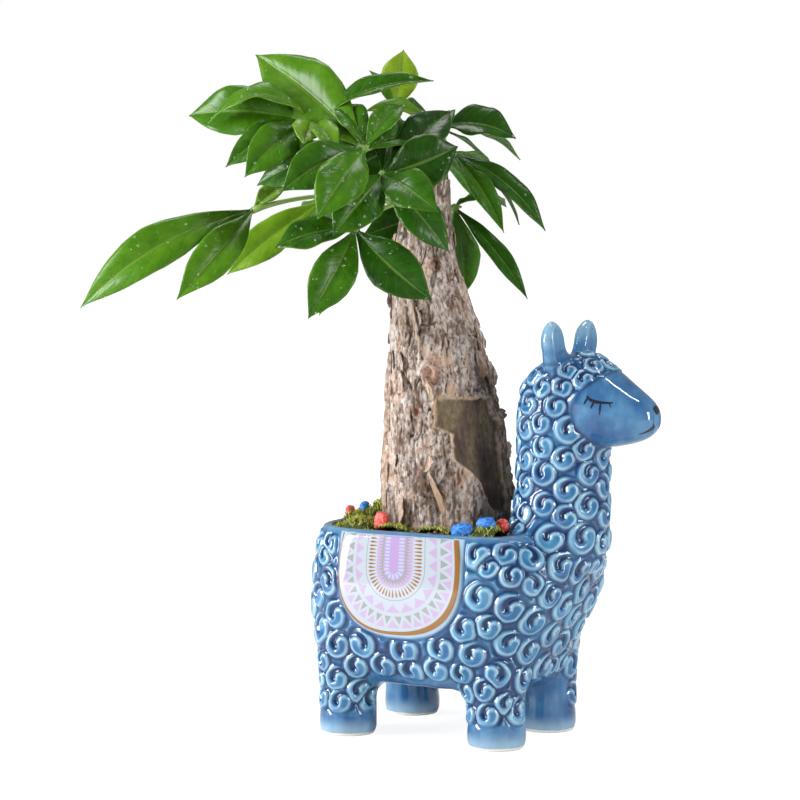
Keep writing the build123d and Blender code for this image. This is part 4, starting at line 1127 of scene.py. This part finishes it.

# %% [markdown]
# ## Compound leaves
# A money tree's leaf is a hand: a stalk, a knuckle and a fan of glossy leaflets that hang from it. Each leaflet below
# is a grid, narrow at the stalk, widest past its middle and drawn out to a point. It arches, folds in a V along its
# midrib, swings sideways and ripples at its edge. The tables hold tip, width, arch, how far its face turns from the
# sky to the window, fold, sideways swing and tone, from deep green at 0 to yellow green at 1. A high tone is partly
# the paler green of a young leaflet and partly painted light: the glow of light shining through a thin leaflet.

# %% The leaf tables
LEAVES = {
    "leaf_top_left": (
        (-0.09, -0.02, 0.16), (-0.35, -0.42, 0.25),
        [
            ((-0.77, -0.64, 0.25), 0.85, 0.26, 0.35, 0.25, 0.04, 0.45),
            ((-0.95, -0.54, 0.29), 1.15, 0.10, 0.80, 0.22, 0.02, 0.30),
            ((-0.65, -0.68, 0.05), 0.80, 0.10, 0.60, 0.20, 0.02, 0.25),
            ((0.16, -0.24, 0.43), 0.62, 0.10, 0.50, 0.45, -0.02, 0.16),
            ((-0.10, -0.62, 0.10), 0.60, 0.10, 0.50, 0.35, 0.02, 0.50),
            ((-0.52, -0.72, 0.00), 0.95, 0.10, 0.70, 0.20, 0.03, 0.38),
            ((-0.27, -0.63, 0.14), 0.75, 0.10, 0.80, 0.15, 0.0, 0.55),
        ],
    ),
    "leaf_front_left": (
        (-0.074, -0.02, 0.1), (-0.04, -0.49, 0.12),
        [
            ((-0.70, -0.37, 0.57), 1.45, -0.02, 0.95, 0.14, 0.03, 0.44),
            ((-0.28, -0.79, -0.07), 1.0, 0.12, 0.75, 0.18, 0.03, 0.18),
            ((-0.07, -0.83, -0.19), 1.05, 0.10, 0.85, 0.16, 0.0, 0.34),
            ((-0.56, -0.57, -0.03), 1.0, 0.08, 0.60, 0.15, 0.0, 0.22),
            ((0.12, -0.21, 0.17), 0.95, 0.12, 0.55, 0.3, 0.0, 0.20),
            ((-0.26, -0.36, 0.33), 0.70, 0.10, 0.60, 0.3, 0.04, 0.30),
            ((-0.42, -0.36, 0.10), 0.90, 0.08, 0.60, 0.2, 0.00, 0.30),
            ((0.05, -0.30, 0.32), 0.60, 0.10, 0.60, 0.3, -0.04, 0.30),
        ],
    ),
    "leaf_front": (
        (-0.045, -0.04, 0.03), (0.03, -0.46, 0.01),
        [
            ((0.32, -0.30, 0.13), 1.15, 0.10, 0.90, 0.16, 0.05, 0.05),
            ((-0.03, -0.77, -0.26), 1.05, 0.10, 0.85, 0.14, -0.02, 0.22),
            ((0.36, -0.54, -0.16), 0.95, 0.12, 0.75, 0.18, 0.02, 0.18),
            ((0.31, -0.36, -0.33), 0.85, 0.10, 0.80, 0.16, 0.0, 0.16),
            ((0.18, -0.12, 0.30), 0.95, 0.12, 0.60, 0.25, 0.05, 0.06),
            ((-0.12, -0.10, 0.24), 0.80, 0.12, 0.55, 0.25, 0.0, 0.14),
        ],
    ),
    "leaf_low_front": (
        (-0.02, -0.08, -0.1), (-0.09, -0.49, -0.23),
        [
            ((-0.17, -0.75, -0.62), 0.95, 0.10, 0.90, 0.18, -0.03, 0.22),
            ((0.27, -0.44, -0.54), 1.05, 0.08, 0.90, 0.16, 0.04, 0.10),
            ((-0.26, -0.52, -0.61), 0.70, 0.08, 0.60, 0.2, 0.0, 0.30),
            ((-0.36, -0.72, -0.31), 0.85, 0.10, 0.55, 0.2, 0.0, 0.18),
        ],
    ),
    "leaf_far_left": (
        (-0.08, -0.05, -0.12), (-0.64, -0.48, -0.14),
        [
            ((-1.23, -0.99, -0.58), 1.0, 0.17, 0.75, 0.16, 0.02, 0.42),
            ((-0.77, -0.89, -0.54), 0.90, 0.12, 0.80, 0.22, -0.04, 0.36),
            ((-0.58, -0.32, -0.03), 0.50, 0.10, 0.60, 0.4, 0.0, 0.60),
        ],
    ),
    "leaf_low_back_left": (
        (-0.1, 0.03, -0.14), (-0.46, -0.17, -0.09),
        [
            ((-0.81, -0.44, -0.43), 0.85, 0.06, 0.70, 0.15, 0.0, 0.60),
            ((-0.66, -0.12, -0.26), 0.60, 0.08, 0.50, 0.2, 0.0, 0.5),
            ((-0.74, 0.22, -0.28), 0.90, 0.12, 0.0, 0.2, 0.0, 0.3),
        ],
    ),
    "leaf_right": (
        (0.02, 0.06, -0.02), (0.06, 0.12, 0.12),
        [
            ((0.40, -0.02, -0.24), 0.55, 0.08, 0.50, 0.3, 0.0, 0.2),
            ((0.50, 0.19, -0.23), 0.62, 0.12, 0.45, 0.25, 0.0, 0.12),
            ((0.31, 0.3, -0.2), 0.65, 0.10, 0.10, 0.3, 0.0, 0.15),
            ((-0.03, 0.42, 0.0), 0.60, 0.10, 0.0, 0.2, 0.0, 0.3),
        ],
    ),
    "leaf_low_right": (
        (0.0, 0.09, -0.16), (0.02, 0.2, -0.12),
        [
            ((0.39, 0.23, -0.54), 0.50, 0.06, 0.50, 0.3, 0.0, 0.18),
            ((0.0, 0.33, -0.53), 0.80, 0.08, 0.40, 0.2, 0.0, 0.3),
            ((-0.30, -0.10, -0.26), 0.90, 0.06, 0.80, 0.2, 0.0, 0.06),
            ((0.11, 0.54, -0.11), 0.80, 0.10, 0.0, 0.2, 0.0, 0.25),
            ((-0.28, 0.5, -0.38), 0.85, 0.12, 0.0, 0.2, 0.0, 0.25),
        ],
    ),
    "leaf_top_right": (
        (0.04, 0.025, 0.14), (-0.03, 0.12, 0.24),
        [
            ((0.33, 0.22, 0.19), 1.05, 0.14, 0.50, 0.3, 0.0, 0.10),
            ((-0.23, -0.18, 0.31), 0.60, 0.14, 0.45, 0.35, 0.0, 0.5),
            ((0.14, 0.36, 0.03), 0.60, 0.10, 0.20, 0.2, 0.0, 0.3),
            ((0.20, -0.16, 0.22), 0.80, 0.14, 0.55, 0.3, 0.05, 0.12),
            ((-0.36, -0.24, 0.0), 0.95, 0.06, 0.80, 0.2, 0.0, 0.05),
            ((0.19, 0.53, 0.11), 0.60, 0.10, 0.10, 0.2, 0.0, 0.3),
        ],
    ),
    "leaf_top": (
        (-0.1, -0.02, 0.2), (-0.25, 0.09, 0.32),
        [
            ((-0.17, 0.06, 0.6), 0.85, -0.06, 0.90, 0.15, 0.02, 0.75),
            ((-0.27, -0.07, 0.5), 0.40, 0.05, 0.50, 0.5, 0.0, 0.35),
            ((-0.13, 0.2, 0.32), 0.50, 0.15, 0.40, 0.4, 0.0, 0.2),
        ],
    ),
    "leaf_back": (
        (0.04, 0.03, 0.08), (-0.16, 0.4, 0.14),
        [
            ((-0.85, 0.6, 0.07), 0.95, 0.10, 0.0, 0.2, 0.03, 0.3),
            ((-0.62, 0.88, -0.03), 1.0, 0.12, 0.0, 0.2, 0.0, 0.2),
            ((-0.25, 0.88, -0.06), 1.0, 0.12, 0.0, 0.2, 0.0, 0.25),
            ((-0.03, 0.64, 0.04), 0.8, 0.12, 0.0, 0.2, -0.03, 0.35),
        ],
    ),
    "leaf_back_left": (
        (-0.06, -0.015, 0.05), (-0.45, 0.22, 0.1),
        [
            ((-1.0, 0.2, 0.06), 0.95, 0.12, 0.0, 0.2, 0.02, 0.3),
            ((-0.86, 0.5, -0.08), 1.0, 0.14, 0.0, 0.2, 0.0, 0.25),
            ((-0.68, 0.12, 0.42), 0.85, 0.10, 0.2, 0.2, 0.0, 0.6),
        ],
    ),
}

# %% One leaflet
WINDOW_WAY = math.radians(-59)
WINDOW = Vector((math.cos(WINDOW_WAY), math.sin(WINDOW_WAY), 0))
OUTLINE = [  # share of the length, share of the width
    (0, 0.05), (0.05, 0.10), (0.14, 0.29), (0.28, 0.64), (0.42, 0.90), (0.54, 1.0), (0.66, 0.94),
    (0.77, 0.75), (0.86, 0.47), (0.93, 0.21), (0.97, 0.07), (1.0, 0.0),
]
ALONG, ACROSS = 34, 13
DROOP, RIPPLE, CUP = 0.05, 0.055, 0.10


def leaflet(heap, hub, tip, wide, arch, turned, fold, swing, tone, seed):
    """Adds one leaflet, from hub to tip in mm."""
    long = (tip - hub).length
    ahead = (tip - hub).normalized()
    face = Vector((0, 0, 1)) * (1 - turned) + WINDOW * turned
    face = (face - ahead * face.dot(ahead)).normalized()
    aside = ahead.cross(face)
    places, along_values, across_values = [], [], []
    phase = seed * 2.4
    for i in range(ALONG):
        s = i / (ALONG - 1)
        half = wide / 2 * float(np.interp(s, *zip(*OUTLINE)))
        bow = 4 * s * (1 - s)
        droop = DROOP * long * max(0, s - 0.75) * (1 if turned < 0.7 else 0.4)
        for j in range(ACROSS):
            c = 2 * j / (ACROSS - 1) - 1
            ripple = RIPPLE * wide * c * c * math.sin(s * 15 + phase + (1.4 if c > 0 else 0)) * bow
            cup = (abs(c) * math.sin(fold) + CUP * math.sin(math.pi * abs(c))) * half
            place = hub + ahead * long * s + face * (arch * long * bow + cup + ripple - droop)
            place += aside * (c * half * math.cos(fold) + swing * long * bow)
            places.append(place * MM)
            along_values.append(s)
            across_values.append(c)
    whim = (seed * 0.618) % 1
    heap.add(places, grid_faces(ALONG, ACROSS), along=along_values, across=across_values, tone=tone, whim=whim)


# %% [markdown]
# ## Leaf skin
# The blade is waxy and glossy on top. Its midrib is pale, side veins leave it at a slant and curve toward the tip, and
# the skin between them is a little puffed. Thin young leaflets let the light through and look yellow.

# %% The leaf's finish
leaf_finish = Finish("waxy leaf")
along, cross = leaf_finish.painted("along"), abs(leaf_finish.painted("across"))
tone, whim = leaf_finish.painted("tone"), leaf_finish.painted("whim")
leaf_mottle = leaf_finish.noise(5 * MM, 4.0)
vein_phase = abs((along * 10.0 - cross**0.85 * 1.7 + 0.5) % 1.0 - 0.5)
vein = (1 - vein_phase.rise(0.015, 0.075)) * (1 - cross.rise(0.75, 0.98))
midrib = 1 - cross.rise(0.025, 0.085)
# A high tone is painted a paler yellow green: partly the colour of young leaflets, partly painted light shining through
# thin ones.
green = leaf_finish.over(
    leaf_finish.ramp(
        (tone + (leaf_mottle - 0.5) * 0.28 + (whim - 0.5) * 0.10 + (1 - cross) * 0.03).most(0.0),
        (0.0, (0.007, 0.033, 0.001)),
        (0.18, (0.017, 0.078, 0.002)),
        (0.38, (0.050, 0.158, 0.004)),
        (0.62, (0.125, 0.262, 0.010)),
        (0.95, (0.270, 0.400, 0.024)),
    ),
    (vein * 0.08, (0.16, 0.30, 0.05)),
    (cross.rise(0.92, 1.0) * 0.25, (0.22, 0.36, 0.04)),
    (midrib * 0.35, (0.20, 0.34, 0.06)),
)
puff = vein_phase.rise(0.0, 0.3) * 0.13 + (1 - midrib) * 0.35 + leaf_mottle * 0.25
leaf_finish.coat(
    Base_Color=green,
    Roughness=leaf_mottle * 0.18 + 0.20,
    IOR=1.30,
    Normal=leaf_finish.bump(puff, 0.55 * MM, 0.7),
)
stalk_finish = Finish("leaf stalk")
stalk_finish.coat(
    Base_Color=stalk_finish.blend(stalk_finish.noise(4 * MM), (0.12, 0.24, 0.04), (0.30, 0.42, 0.10)),
    Roughness=stalk_finish.noise(2 * MM) * 0.1 + 0.38,
)

# %% Growing the leaves
LEAFLET_WIDTH, BLADE_THICKNESS = 21.0, 0.5
STALK_ROWS, STALK_SIDES, KNUCKLE_SIDES = 18, 10, 8
KNUCKLE = [(0, 1.5), (2.2, 1.1), (4.5, 0.5)]  # mm from the hub and radius of the short foot of each leaflet
blades = []
for number, (name, (stalk_place, hub_place, leaflets)) in enumerate(LEAVES.items()):
    start, hub = crown(stalk_place), crown(hub_place)
    bow = Vector((0, 0, 0.08 * (hub - start).length))
    bend = (start + hub) / 2 + bow * 2
    leaf_heap = Heap()
    for k, (tip, wide, *rest) in enumerate(leaflets):
        leaflet(leaf_heap, hub, crown(tip), wide * LEAFLET_WIDTH, *rest, seed=number * 7 + k)
    blades.append((name, leaf_heap.places, leaf_heap.faces))
    piece = leaf_heap.piece(f"{name}_blades")
    blade = piece.modifiers.new("blade", "SOLIDIFY")
    blade.thickness, blade.offset = BLADE_THICKNESS * MM, 0
    settle(piece, "plant", "leaf_green", leaf_finish, name)
    stalk_heap = Heap()
    shares = np.linspace(0, 1, STALK_ROWS)
    path = [((1 - t) ** 2 * start + 2 * t * (1 - t) * bend + t * t * hub) * MM for t in shares]
    radii = [(1.0 + 0.5 * (1 - t) ** 6 + 0.7 * t**10) * MM for t in shares]
    stalk_heap.add(*tube(path, radii, STALK_SIDES))
    for tip, *_ in leaflets:
        toward = (crown(tip) - hub).normalized()
        path, radii = [(hub + toward * far) * MM for far, _ in KNUCKLE], [thick * MM for _, thick in KNUCKLE]
        stalk_heap.add(*tube(path, radii, KNUCKLE_SIDES))
    settle(stalk_heap.piece(f"{name}_stalk"), "plant", "leaf_green", stalk_finish)

# %% [markdown]
# ## Water drops
# The plant was misted before its picture was taken. Small domes of water sit on the blades that face the window.

# %% Mist
water = Finish("water drops")
# The drops' pale green-white colour is painted light: it stands for the glints in clear water and the green leaf seen
# through it.
water.coat(Base_Color=(0.55, 0.75, 0.50), Roughness=0.02, IOR=1.33, Alpha=0.25, Coat_Weight=1.0, Coat_Roughness=0.01)
dew_heap = Heap()
dripper = random.Random(8)
WET = {
    "leaf_top_left": 130, "leaf_far_left": 60, "leaf_front_left": 170, "leaf_front": 90, "leaf_low_front": 70,
    "leaf_top_right": 16, "leaf_right": 12, "leaf_back": 20, "leaf_back_left": 20,
}
DOME, DOME_TOP, DOME_SIDES = [(1.0, 0.0), (0.85, 0.38), (0.5, 0.62)], 0.72, 8  # radius and height shares of each ring
SEAT = 0.26  # mm from the middle of a blade to just above its skin
for name, places, faces in blades:
    for _ in range(WET.get(name, 0)):
        a, b, c, d = (Vector(places[i]) for i in faces[dripper.randrange(len(faces))])
        u, v = dripper.random(), dripper.random()
        spot = (a * (1 - u) + b * u) * (1 - v) + (d * (1 - u) + c * u) * v
        normal = (b - a).cross(d - a)
        if normal.length < 1e-12:
            continue
        normal.normalize()
        if normal.dot(WINDOW + Vector((0, 0, 0.7))) < 0:
            normal.negate()
        size = dripper.choice((0.25, 0.3, 0.35, 0.45, 0.7)) * MM
        aside = normal.orthogonal().normalized()
        other = normal.cross(aside)
        dome_places = []
        for r, h in DOME:
            for k in range(DOME_SIDES):
                t = 2 * math.pi * k / DOME_SIDES
                out_from = (aside * math.cos(t) + other * math.sin(t)) * r * size
                dome_places.append(spot + out_from + normal * (h * size + SEAT * MM))
        dome_places.append(spot + normal * (DOME_TOP * size + SEAT * MM))
        apex = len(dome_places) - 1
        last_ring = [apex - DOME_SIDES + k for k in range(DOME_SIDES)]
        dome_faces = grid_faces(len(DOME), DOME_SIDES, closed=True)
        dome_faces += [(last_ring[k], last_ring[(k + 1) % DOME_SIDES], apex) for k in range(DOME_SIDES)]
        dew_heap.add(dome_places, dome_faces)
dew = dew_heap.piece("mist_drops")
settle(dew, "plant", "leaf_green", water)

# %% [markdown]
# ## Soil, moss and gravel
# Moss cushions hide most of the soil. Each cushion is a low mound bristling with leafy threads, yellow green with
# brown tips. Dyed gravel lies between them. The root ball below holds together when the plant is lifted out.

# %% The root ball
roots = even_copy("root_ball", "soil_and_roots", 1.3 * MM)
earth = points_of(roots.data) / MM
earth_out = normals_of(roots.data)
grit = 0.5 * np.abs(lumps(earth, 2.2, 41)) + 0.5 * np.abs(lumps(earth, 5.0, 42))
set_points(roots.data, (earth - earth_out * grit[:, None] * 0.9) * MM)
soil = Finish("potting soil")
crumb = soil.noise(1.4 * MM, 5.0)
root_lines = abs(soil.noise(9 * MM, 3.0, (1, 1, 0.35)) - 0.5)
earth_colour = soil.over(
    soil.ramp(crumb, (0.35, (0.018, 0.011, 0.007)), (0.55, (0.060, 0.036, 0.022)), (0.72, (0.15, 0.10, 0.065))),
    ((1 - root_lines.rise(0.004, 0.014)) * 0.8, (0.42, 0.33, 0.22)),
)
soil.coat(Base_Color=earth_colour, Roughness=crumb * 0.1 + 0.85, Normal=soil.bump(crumb, 0.9 * MM, 0.9))
settle(roots, "plant", "soil", soil, "root_ball")

# %% Where the moss grows
OPENING_MIDDLE, OPENING_HALF, OPENING_WIDE, OPENING_FRONT = -6.73, 46.73, 36.86, 40
CORE_LONG, CORE_WIDE, CORNER, NECK_POST = 26.5, 9.0, 28.3, 24.5  # a box with round corners, less the neck's foot
MOSS_HEIGHT = 9.0
MOSS = [  # place in shares of the opening's half length and half width, radius and height in shares of MOSS_HEIGHT
    (-0.82, -0.22, 0.85, 0.62), (-0.68, 0.24, 1.2, 1.1), (-0.55, -0.7, 1.0, 0.5),
    (-0.12, -0.92, 1.0, 0.35), (0.36, -0.95, 1.0, 0.35), (0.84, -0.7, 0.9, 0.55),
    (0.3, 0.95, 1.2, 0.5), (-0.3, 0.9, 1.2, 0.6), (0.85, 0.66, 1.1, 0.7),
]


def in_opening(px, py, inset=1.2):
    """Whether a place in mm is over the soil: inside the rim and clear of the trunk and the neck."""
    past_x, past_y = max(abs(px + 0.2) - CORE_LONG, 0), max(abs(py) - CORE_WIDE, 0)
    in_rim = math.hypot(past_x, past_y) < CORNER - inset and abs(py) < OPENING_WIDE - inset
    off_trunk = math.hypot(px + TRUNK_BACK, py) > TRUNK_RADIUS - 0.5
    off_neck = px < OPENING_FRONT - inset and math.hypot(px - NECK_FORWARD, py) > NECK_POST + inset
    return in_rim and off_trunk and off_neck


def moss_top(px, py):
    """Height of the moss over the soil at a place."""
    top = 0.0
    for mx, my, wide, high in MOSS:
        cx, cy = OPENING_MIDDLE + mx * OPENING_HALF, my * OPENING_WIDE
        away = math.hypot(px - cx, py - cy) / (wide * MOSS_HEIGHT)
        if away < 1:
            top = max(top, high * MOSS_HEIGHT * math.sqrt(1 - away * away))
    return top


# %% The moss's finish
moss_finish = Finish("moss")
green_share = moss_finish.painted("green")
moss_colour = moss_finish.ramp(
    green_share + (moss_finish.noise(1.5 * MM) - 0.5) * 0.5,
    (0.1, (0.035, 0.045, 0.008)),
    (0.40, (0.20, 0.25, 0.025)),
    (0.70, (0.50, 0.56, 0.070)),
    (1.0, (0.58, 0.47, 0.16)),
)
moss_finish.coat(Base_Color=moss_colour, Roughness=moss_finish.noise(1 * MM) * 0.1 + 0.75)

# %% A mat of moss
CELL = 1.1
moss_heap = Heap()
mat_places, mat_index = [], {}
for i in range(-56, 42):
    for j in range(-38, 39):
        px, py = i * CELL, j * CELL
        if in_opening(px, py, 0.6):
            mat_index[i, j] = len(mat_places)
            top = moss_top(px, py)
            lump = 0.45 * math.sin(px * 2.1 + py) * math.cos(py * 1.7)
            mat_places.append(Vector((px, py, SOIL + 0.15 + max(0, top - 0.4 + lump * (top > 1)))) * MM)
mat_faces = [
    (mat_index[i, j], mat_index[i + 1, j], mat_index[i + 1, j + 1], mat_index[i, j + 1])
    for i, j in mat_index
    if (i + 1, j) in mat_index and (i, j + 1) in mat_index and (i + 1, j + 1) in mat_index
]
moss_heap.add(mat_places, mat_faces, green=0.12)
print("faces of the mat:", len(mat_faces))

# %% Threads of moss
THREADS, LEAVES_ON_THREAD = 7000, 3
grower = random.Random(13)
for _ in range(THREADS):
    px, py = grower.uniform(-60, 41), grower.uniform(-38, 38)
    top = moss_top(px, py)
    if not in_opening(px, py) or grower.random() > 0.26 + 0.20 * top:
        continue
    foot = Vector((px, py, SOIL + max(0, top - 0.6)))
    lean = Vector((grower.uniform(-0.9, 0.9), grower.uniform(-0.9, 0.9), 1)).normalized()
    long = grower.uniform(1.4, 3.4) * (0.6 + 0.4 * min(1, top / 4))
    bend = Vector((grower.uniform(-0.5, 0.5), grower.uniform(-0.5, 0.5), 0.1))
    path = [foot, foot + lean * long * 0.55, foot + lean * long + bend * long * 0.4]
    shade = grower.uniform(0.35, 0.85) + (0.25 if grower.random() < 0.12 else 0)
    places, faces = tube([p * MM for p in path], [0.30 * MM, 0.24 * MM, 0.03 * MM], 4)
    moss_heap.add(places, faces, green=[shade * 0.5] * 4 + [shade] * 4 + [shade * 1.2] * 4)
    for k in range(LEAVES_ON_THREAD):
        root = foot + lean * long * (0.25 + 0.22 * k)
        way_out = grower.uniform(0, 2 * math.pi)
        off = Vector((math.cos(way_out), math.sin(way_out), 0.5)) * grower.uniform(0.5, 1.0)
        places, faces = tube([root * MM, (root + off) * MM], [0.16 * MM, 0.03 * MM], 3)
        moss_heap.add(places, faces, green=shade)
moss = moss_heap.piece("moss_cushions")
settle(moss, "plant", "moss", moss_finish, "moss")

# %% [markdown]
# Each piece of gravel is a worn, faceted stone: a ball pressed flat by a few random planes, then roughened.

# %% Gravel
RED = [  # place and lift as for the moss, then shares of PEBBLE_RADIUS
    (-0.9, -0.25, 0.66, 0.5, 0.5, 0.52), (-0.27, -0.82, 0.5, 0.76, 0.72, 0.9), (0.94, -0.55, 0.5, 0.75, 0.55, 0.65),
    (-0.7, 0.62, 0.34, 0.8, 0.7, 0.7), (0.1, 0.9, 0.34, 0.8, 0.62, 0.7),
]
BLUE = [
    (0.62, -0.85, 0.3, 1.15, 0.8, 0.8), (0.84, -0.74, 0.62, 0.92, 0.75, 0.8), (-0.92, 0.14, 0.66, 0.55, 0.6, 0.62),
    (0.62, 0.82, 0.4, 0.9, 0.8, 0.8), (-0.5, 0.8, 0.35, 0.7, 0.7, 0.7),
]
PEBBLE_RADIUS, FACETS = 4.6, 9
SWELL = 1.07  # the facets take size off, and this puts it back


def gravel(name, table, finish, slot, node, seed):
    """One colour of stones as one piece."""
    ball = bmesh.new()
    bmesh.ops.create_icosphere(ball, subdivisions=4, radius=1.0)
    unit = np.array([v.co[:] for v in ball.verts])
    faces = [[v.index for v in f.verts] for f in ball.faces]
    ball.free()
    chooser = np.random.default_rng(seed)
    heap = Heap()
    for sx, sy, lift, *size in table:
        stone = unit.copy()
        for _ in range(FACETS):
            plane = chooser.normal(size=3)
            plane /= np.linalg.norm(plane)
            past = np.maximum(stone @ plane - chooser.uniform(0.72, 0.92), 0)
            stone -= past[:, None] * plane * 0.9
        stone *= 1 + 0.05 * lumps(stone + seed, 0.3, seed)[:, None]
        middle = (OPENING_MIDDLE + sx * OPENING_HALF, sy * OPENING_WIDE, SOIL + lift * MOSS_HEIGHT)
        heap.add((stone * np.array(size) * PEBBLE_RADIUS * SWELL + middle) * MM, faces)
    settle(heap.piece(name), "plant", slot, finish, node)


for name, slot, node, table, deep, worn_tint, seed in (
    ("red_gravel", "red_stone", "red_pebbles", RED, (0.55, 0.025, 0.022), (0.86, 0.20, 0.16), 3),
    ("blue_gravel", "blue_stone", "blue_pebbles", BLUE, (0.012, 0.11, 0.50), (0.07, 0.34, 0.85), 4),
):
    dye = Finish(name.replace("_", " "))
    grainy = dye.noise(1.1 * MM, 5.0)
    dye.coat(
        Base_Color=dye.blend(grainy.rise(0.38, 0.66), deep, worn_tint),
        Roughness=grainy * 0.2 + 0.5,
        Normal=dye.bump(grainy, 0.5 * MM, 0.7),
    )
    gravel(name, table, dye, slot, node, seed)

# %% [markdown]
# ## Studio
# A pale floor, a white surround and four soft boxes: a tall one far to the left, a narrower one to the right, a thin
# strip overhead and a broad one behind it. The boxes show as the white streaks in the glaze. The floor glows a little,
# so that it stays as white as the surround, and less near the pot, where the pot's own shade falls on it.

# %% Floor
FLOOR_GLOW = 1.22
bpy.ops.mesh.primitive_plane_add(size=30, location=(0, 0, 0))
floor = bpy.context.object
floor.name = "floor"
floor_finish = Finish("pale floor")
floor_finish.coat(Base_Color=(0.92, 0.92, 0.92), Roughness=0.9)
glow = floor_finish.tree.nodes.new("ShaderNodeEmission")
glow.inputs["Strength"].default_value = FLOOR_GLOW
seen = floor_finish.node("ShaderNodeLightPath", output=0)
from_pot = floor_finish.node("ShaderNodeVectorMath", {"operation": "LENGTH"}, {0: floor_finish.place()}, output=1)
join = floor_finish.tree.nodes.new("ShaderNodeMixShader")
floor_finish.tree.links.new((seen * (from_pot.rise(0.3, 1.2) * 0.28 + 0.72)).socket, join.inputs[0])
floor_finish.tree.links.new(floor_finish.shader.outputs[0], join.inputs[1])
floor_finish.tree.links.new(glow.outputs[0], join.inputs[2])
floor_finish.tree.links.new(join.outputs[0], floor_finish.tree.nodes["Material Output"].inputs[0])
floor.data.materials.append(floor_finish.material)


# %% Lamps
def soft_box(name, place, aim, wide, high, power):
    """An area lamp that points at aim."""
    lamp = bpy.data.lights.new(name, "AREA")
    lamp.shape, lamp.size, lamp.size_y, lamp.energy = "RECTANGLE", wide, high, power
    point_at(put(name, lamp), place, aim)


soft_box("left_box", (-0.85, -0.80, 0.38), (0, 0, 0.20), 0.42, 0.70, 21)
soft_box("right_box", (1.05, -0.20, 0.36), (0, 0, 0.15), 0.22, 0.62, 7)
soft_box("top_box", (0.57, 0.02, 1.16), (0.09, 0, 0.155), 0.08, 0.24, 1.6)
soft_box("back_top_box", (-0.30, 0.25, 1.25), (0, 0, 0.20), 0.50, 0.50, 5)

# %% Surround
LIT_BY_IT, SEEN_AS = 0.32, 1.0  # how bright it is for the object and for the camera
world = bpy.data.worlds.new("surround")
world.use_nodes = True
sky = world.node_tree.nodes["Background"]
ray = world.node_tree.nodes.new("ShaderNodeLightPath")
level = world.node_tree.nodes.new("ShaderNodeMapRange")
level.inputs["To Min"].default_value = LIT_BY_IT
level.inputs["To Max"].default_value = SEEN_AS
world.node_tree.links.new(ray.outputs["Is Camera Ray"], level.inputs["Value"])
world.node_tree.links.new(level.outputs[0], sky.inputs["Strength"])
sky.inputs["Color"].default_value = (1, 1, 1, 1)
bpy.context.scene.world = world
bpy.context.scene.view_settings.view_transform = "Standard"
